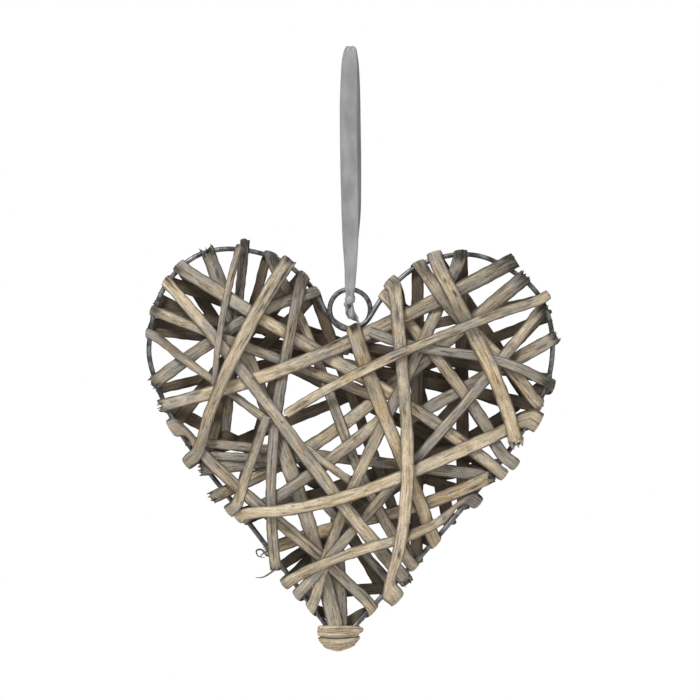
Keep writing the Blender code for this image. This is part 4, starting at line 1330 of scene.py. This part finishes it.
def makeSteel():
    material, tree, shader = newMaterial("dull steel wire")
    place = addNode(tree, "ShaderNodeTexCoord").outputs["Object"]
    clouds = stretchedNoise(tree, place, (240, 240, 240), 4)
    specks = stretchedNoise(tree, place, (2200, 2200, 2200), 2)
    base = mixColour(tree, band(tree, clouds, 0.35, 0.65), steelColours["dark"], steelColours["light"])
    base = mixColour(tree, band(tree, specks, 0.58, 0.7), base, steelColours["speck"])
    tree.links.new(base, shader.inputs["Base Color"])
    shader.inputs["Metallic"].default_value = 0.85
    rough = mathNode(tree, "ADD", mathNode(tree, "MULTIPLY", clouds, 0.3), 0.3)
    tree.links.new(rough, shader.inputs["Roughness"])
    addBump(tree, shader, specks, 0.3, 0.0001)
    return material


satinColours = {
    "shade": (0.222, 0.214, 0.222),
    # the lighter grey is the painted sheen's colour
    "light": (0.325, 0.32, 0.325),
    "edge": (0.17, 0.163, 0.17),
    "picot": (0.45, 0.435, 0.445),
}


def makeSatin():
    material, tree, shader = newMaterial("grey satin")
    times = partial(mathNode, tree, "MULTIPLY")
    along, across, _ = separate(tree, attribute(tree, "satin"))
    edge = band(tree, mathNode(tree, "ABSOLUTE", across), 0.78, 0.9)
    weft = mathNode(tree, "SINE", times(along, 2 * math.pi / ribbon["picotStep"]))
    warp = mathNode(tree, "SINE", times(across, 120.0))
    rib = times(weft, edge)
    place = addNode(tree, "ShaderNodeTexCoord").outputs["Object"]
    # painted sheen: lighter clouds over the grey satin
    paintedSheen = band(tree, stretchedNoise(tree, place, (150, 150, 70), 3, 0.55), 0.3, 0.7)
    base = mixColour(tree, paintedSheen, satinColours["shade"], satinColours["light"])
    base = mixColour(tree, times(edge, 0.7), base, satinColours["edge"])
    base = mixColour(tree, times(band(tree, rib, 0.2, 0.9), 0.8), base, satinColours["picot"])
    tree.links.new(base, shader.inputs["Base Color"])
    shader.inputs["Roughness"].default_value = 0.36
    shader.inputs["Anisotropic"].default_value = 0.5
    shader.inputs["Sheen Weight"].default_value = 0.25
    shader.inputs["Sheen Roughness"].default_value = 0.4
    addBump(tree, shader, mathNode(tree, "ADD", times(rib, 0.7), times(warp, 0.2)), 0.25, 0.00008)
    return material


# Stage, light and camera

studio = {
    "floorSize": 1.1,
    "floorHeight": -0.36,
    "floorColour": (0.86, 0.86, 0.85, 1),
    "daylight": 0.3,  # strength of the white all round; the camera sees it at full white
    "aim": (0, 0, -0.19),
    # name, place, size, power
    "lights": (
        ("key", (-0.75, -1.15, 1.05), 0.5, 31),
        ("fill", (1.1, -1.3, 0.0), 0.9, 6),
        ("rim", (0.4, 1.2, 0.8), 0.9, 12),
    ),
}
camera = {
    "distance": 3.5,
    "frameWidth": 0.3341,  # width of what it sees, at the heart
    "middle": (0.0, -0.1446),
    "sensor": 36,
}


def makeFloor():
    bpy.ops.mesh.primitive_plane_add(size=studio["floorSize"], location=(0, 0, studio["floorHeight"]))
    floor = bpy.context.object
    floor.name = "pale_floor"
    bpy.ops.object.transform_apply(location=True, rotation=True, scale=True)
    material, _, shader = newMaterial("pale floor")
    shader.inputs["Base Color"].default_value = studio["floorColour"]
    shader.inputs["Roughness"].default_value = 0.8
    floor.data.materials.append(material)


def makeDaylight():
    world = bpy.data.worlds.new("white studio")
    bpy.context.scene.world = world
    world.use_nodes = True
    tree = world.node_tree
    plain, seen = tree.nodes["Background"], addNode(tree, "ShaderNodeBackground")
    for background, strength in ((plain, studio["daylight"]), (seen, 1.0)):
        background.inputs["Color"].default_value = (1, 1, 1, 1)
        background.inputs["Strength"].default_value = strength
    path, mix = addNode(tree, "ShaderNodeLightPath"), addNode(tree, "ShaderNodeMixShader")
    tree.links.new(path.outputs["Is Camera Ray"], mix.inputs[0])
    tree.links.new(plain.outputs[0], mix.inputs[1])
    tree.links.new(seen.outputs[0], mix.inputs[2])
    tree.links.new(mix.outputs[0], tree.nodes["World Output"].inputs["Surface"])


def makeLights():
    for name, place, size, power in studio["lights"]:
        light = bpy.data.lights.new(name, "AREA")
        light.size = size
        light.energy = power
        lamp = bpy.data.objects.new(name, light)
        bpy.context.scene.collection.objects.link(lamp)
        lamp.location = place
        lamp.rotation_euler = (Vector(studio["aim"]) - Vector(place)).to_track_quat("-Z", "Y").to_euler()


def makeCamera():
    data = bpy.data.cameras.new("camera")
    data.sensor_width = camera["sensor"]
    data.lens = camera["sensor"] * camera["distance"] / camera["frameWidth"]
    view = bpy.data.objects.new("camera", data)
    bpy.context.scene.collection.objects.link(view)
    view.location = (camera["middle"][0], -camera["distance"], camera["middle"][1])
    view.rotation_euler = (math.pi / 2, 0, 0)
    bpy.context.scene.camera = view


bpy.context.scene.view_settings.view_transform = "Standard"
makeCamera()
makeFloor()
makeDaylight()
makeLights()
print("stage, light and camera made")
willowMaterial = makeWillow(makeGrainGroup())
steelMaterial = makeSteel()
satinMaterial = makeSatin()
print("materials made")
makeWire(steelMaterial)
layWire()
print("wire made")
for number, row in enumerate(canes, 1):
    makeCane(number, row, willowMaterial)
print("canes made")
makeBinding(willowMaterial)
print("binding made")
loop = makeRibbon(satinMaterial)
knot = makeKnot(satinMaterial)
tail = makeTail(satinMaterial)
print("ribbon made")
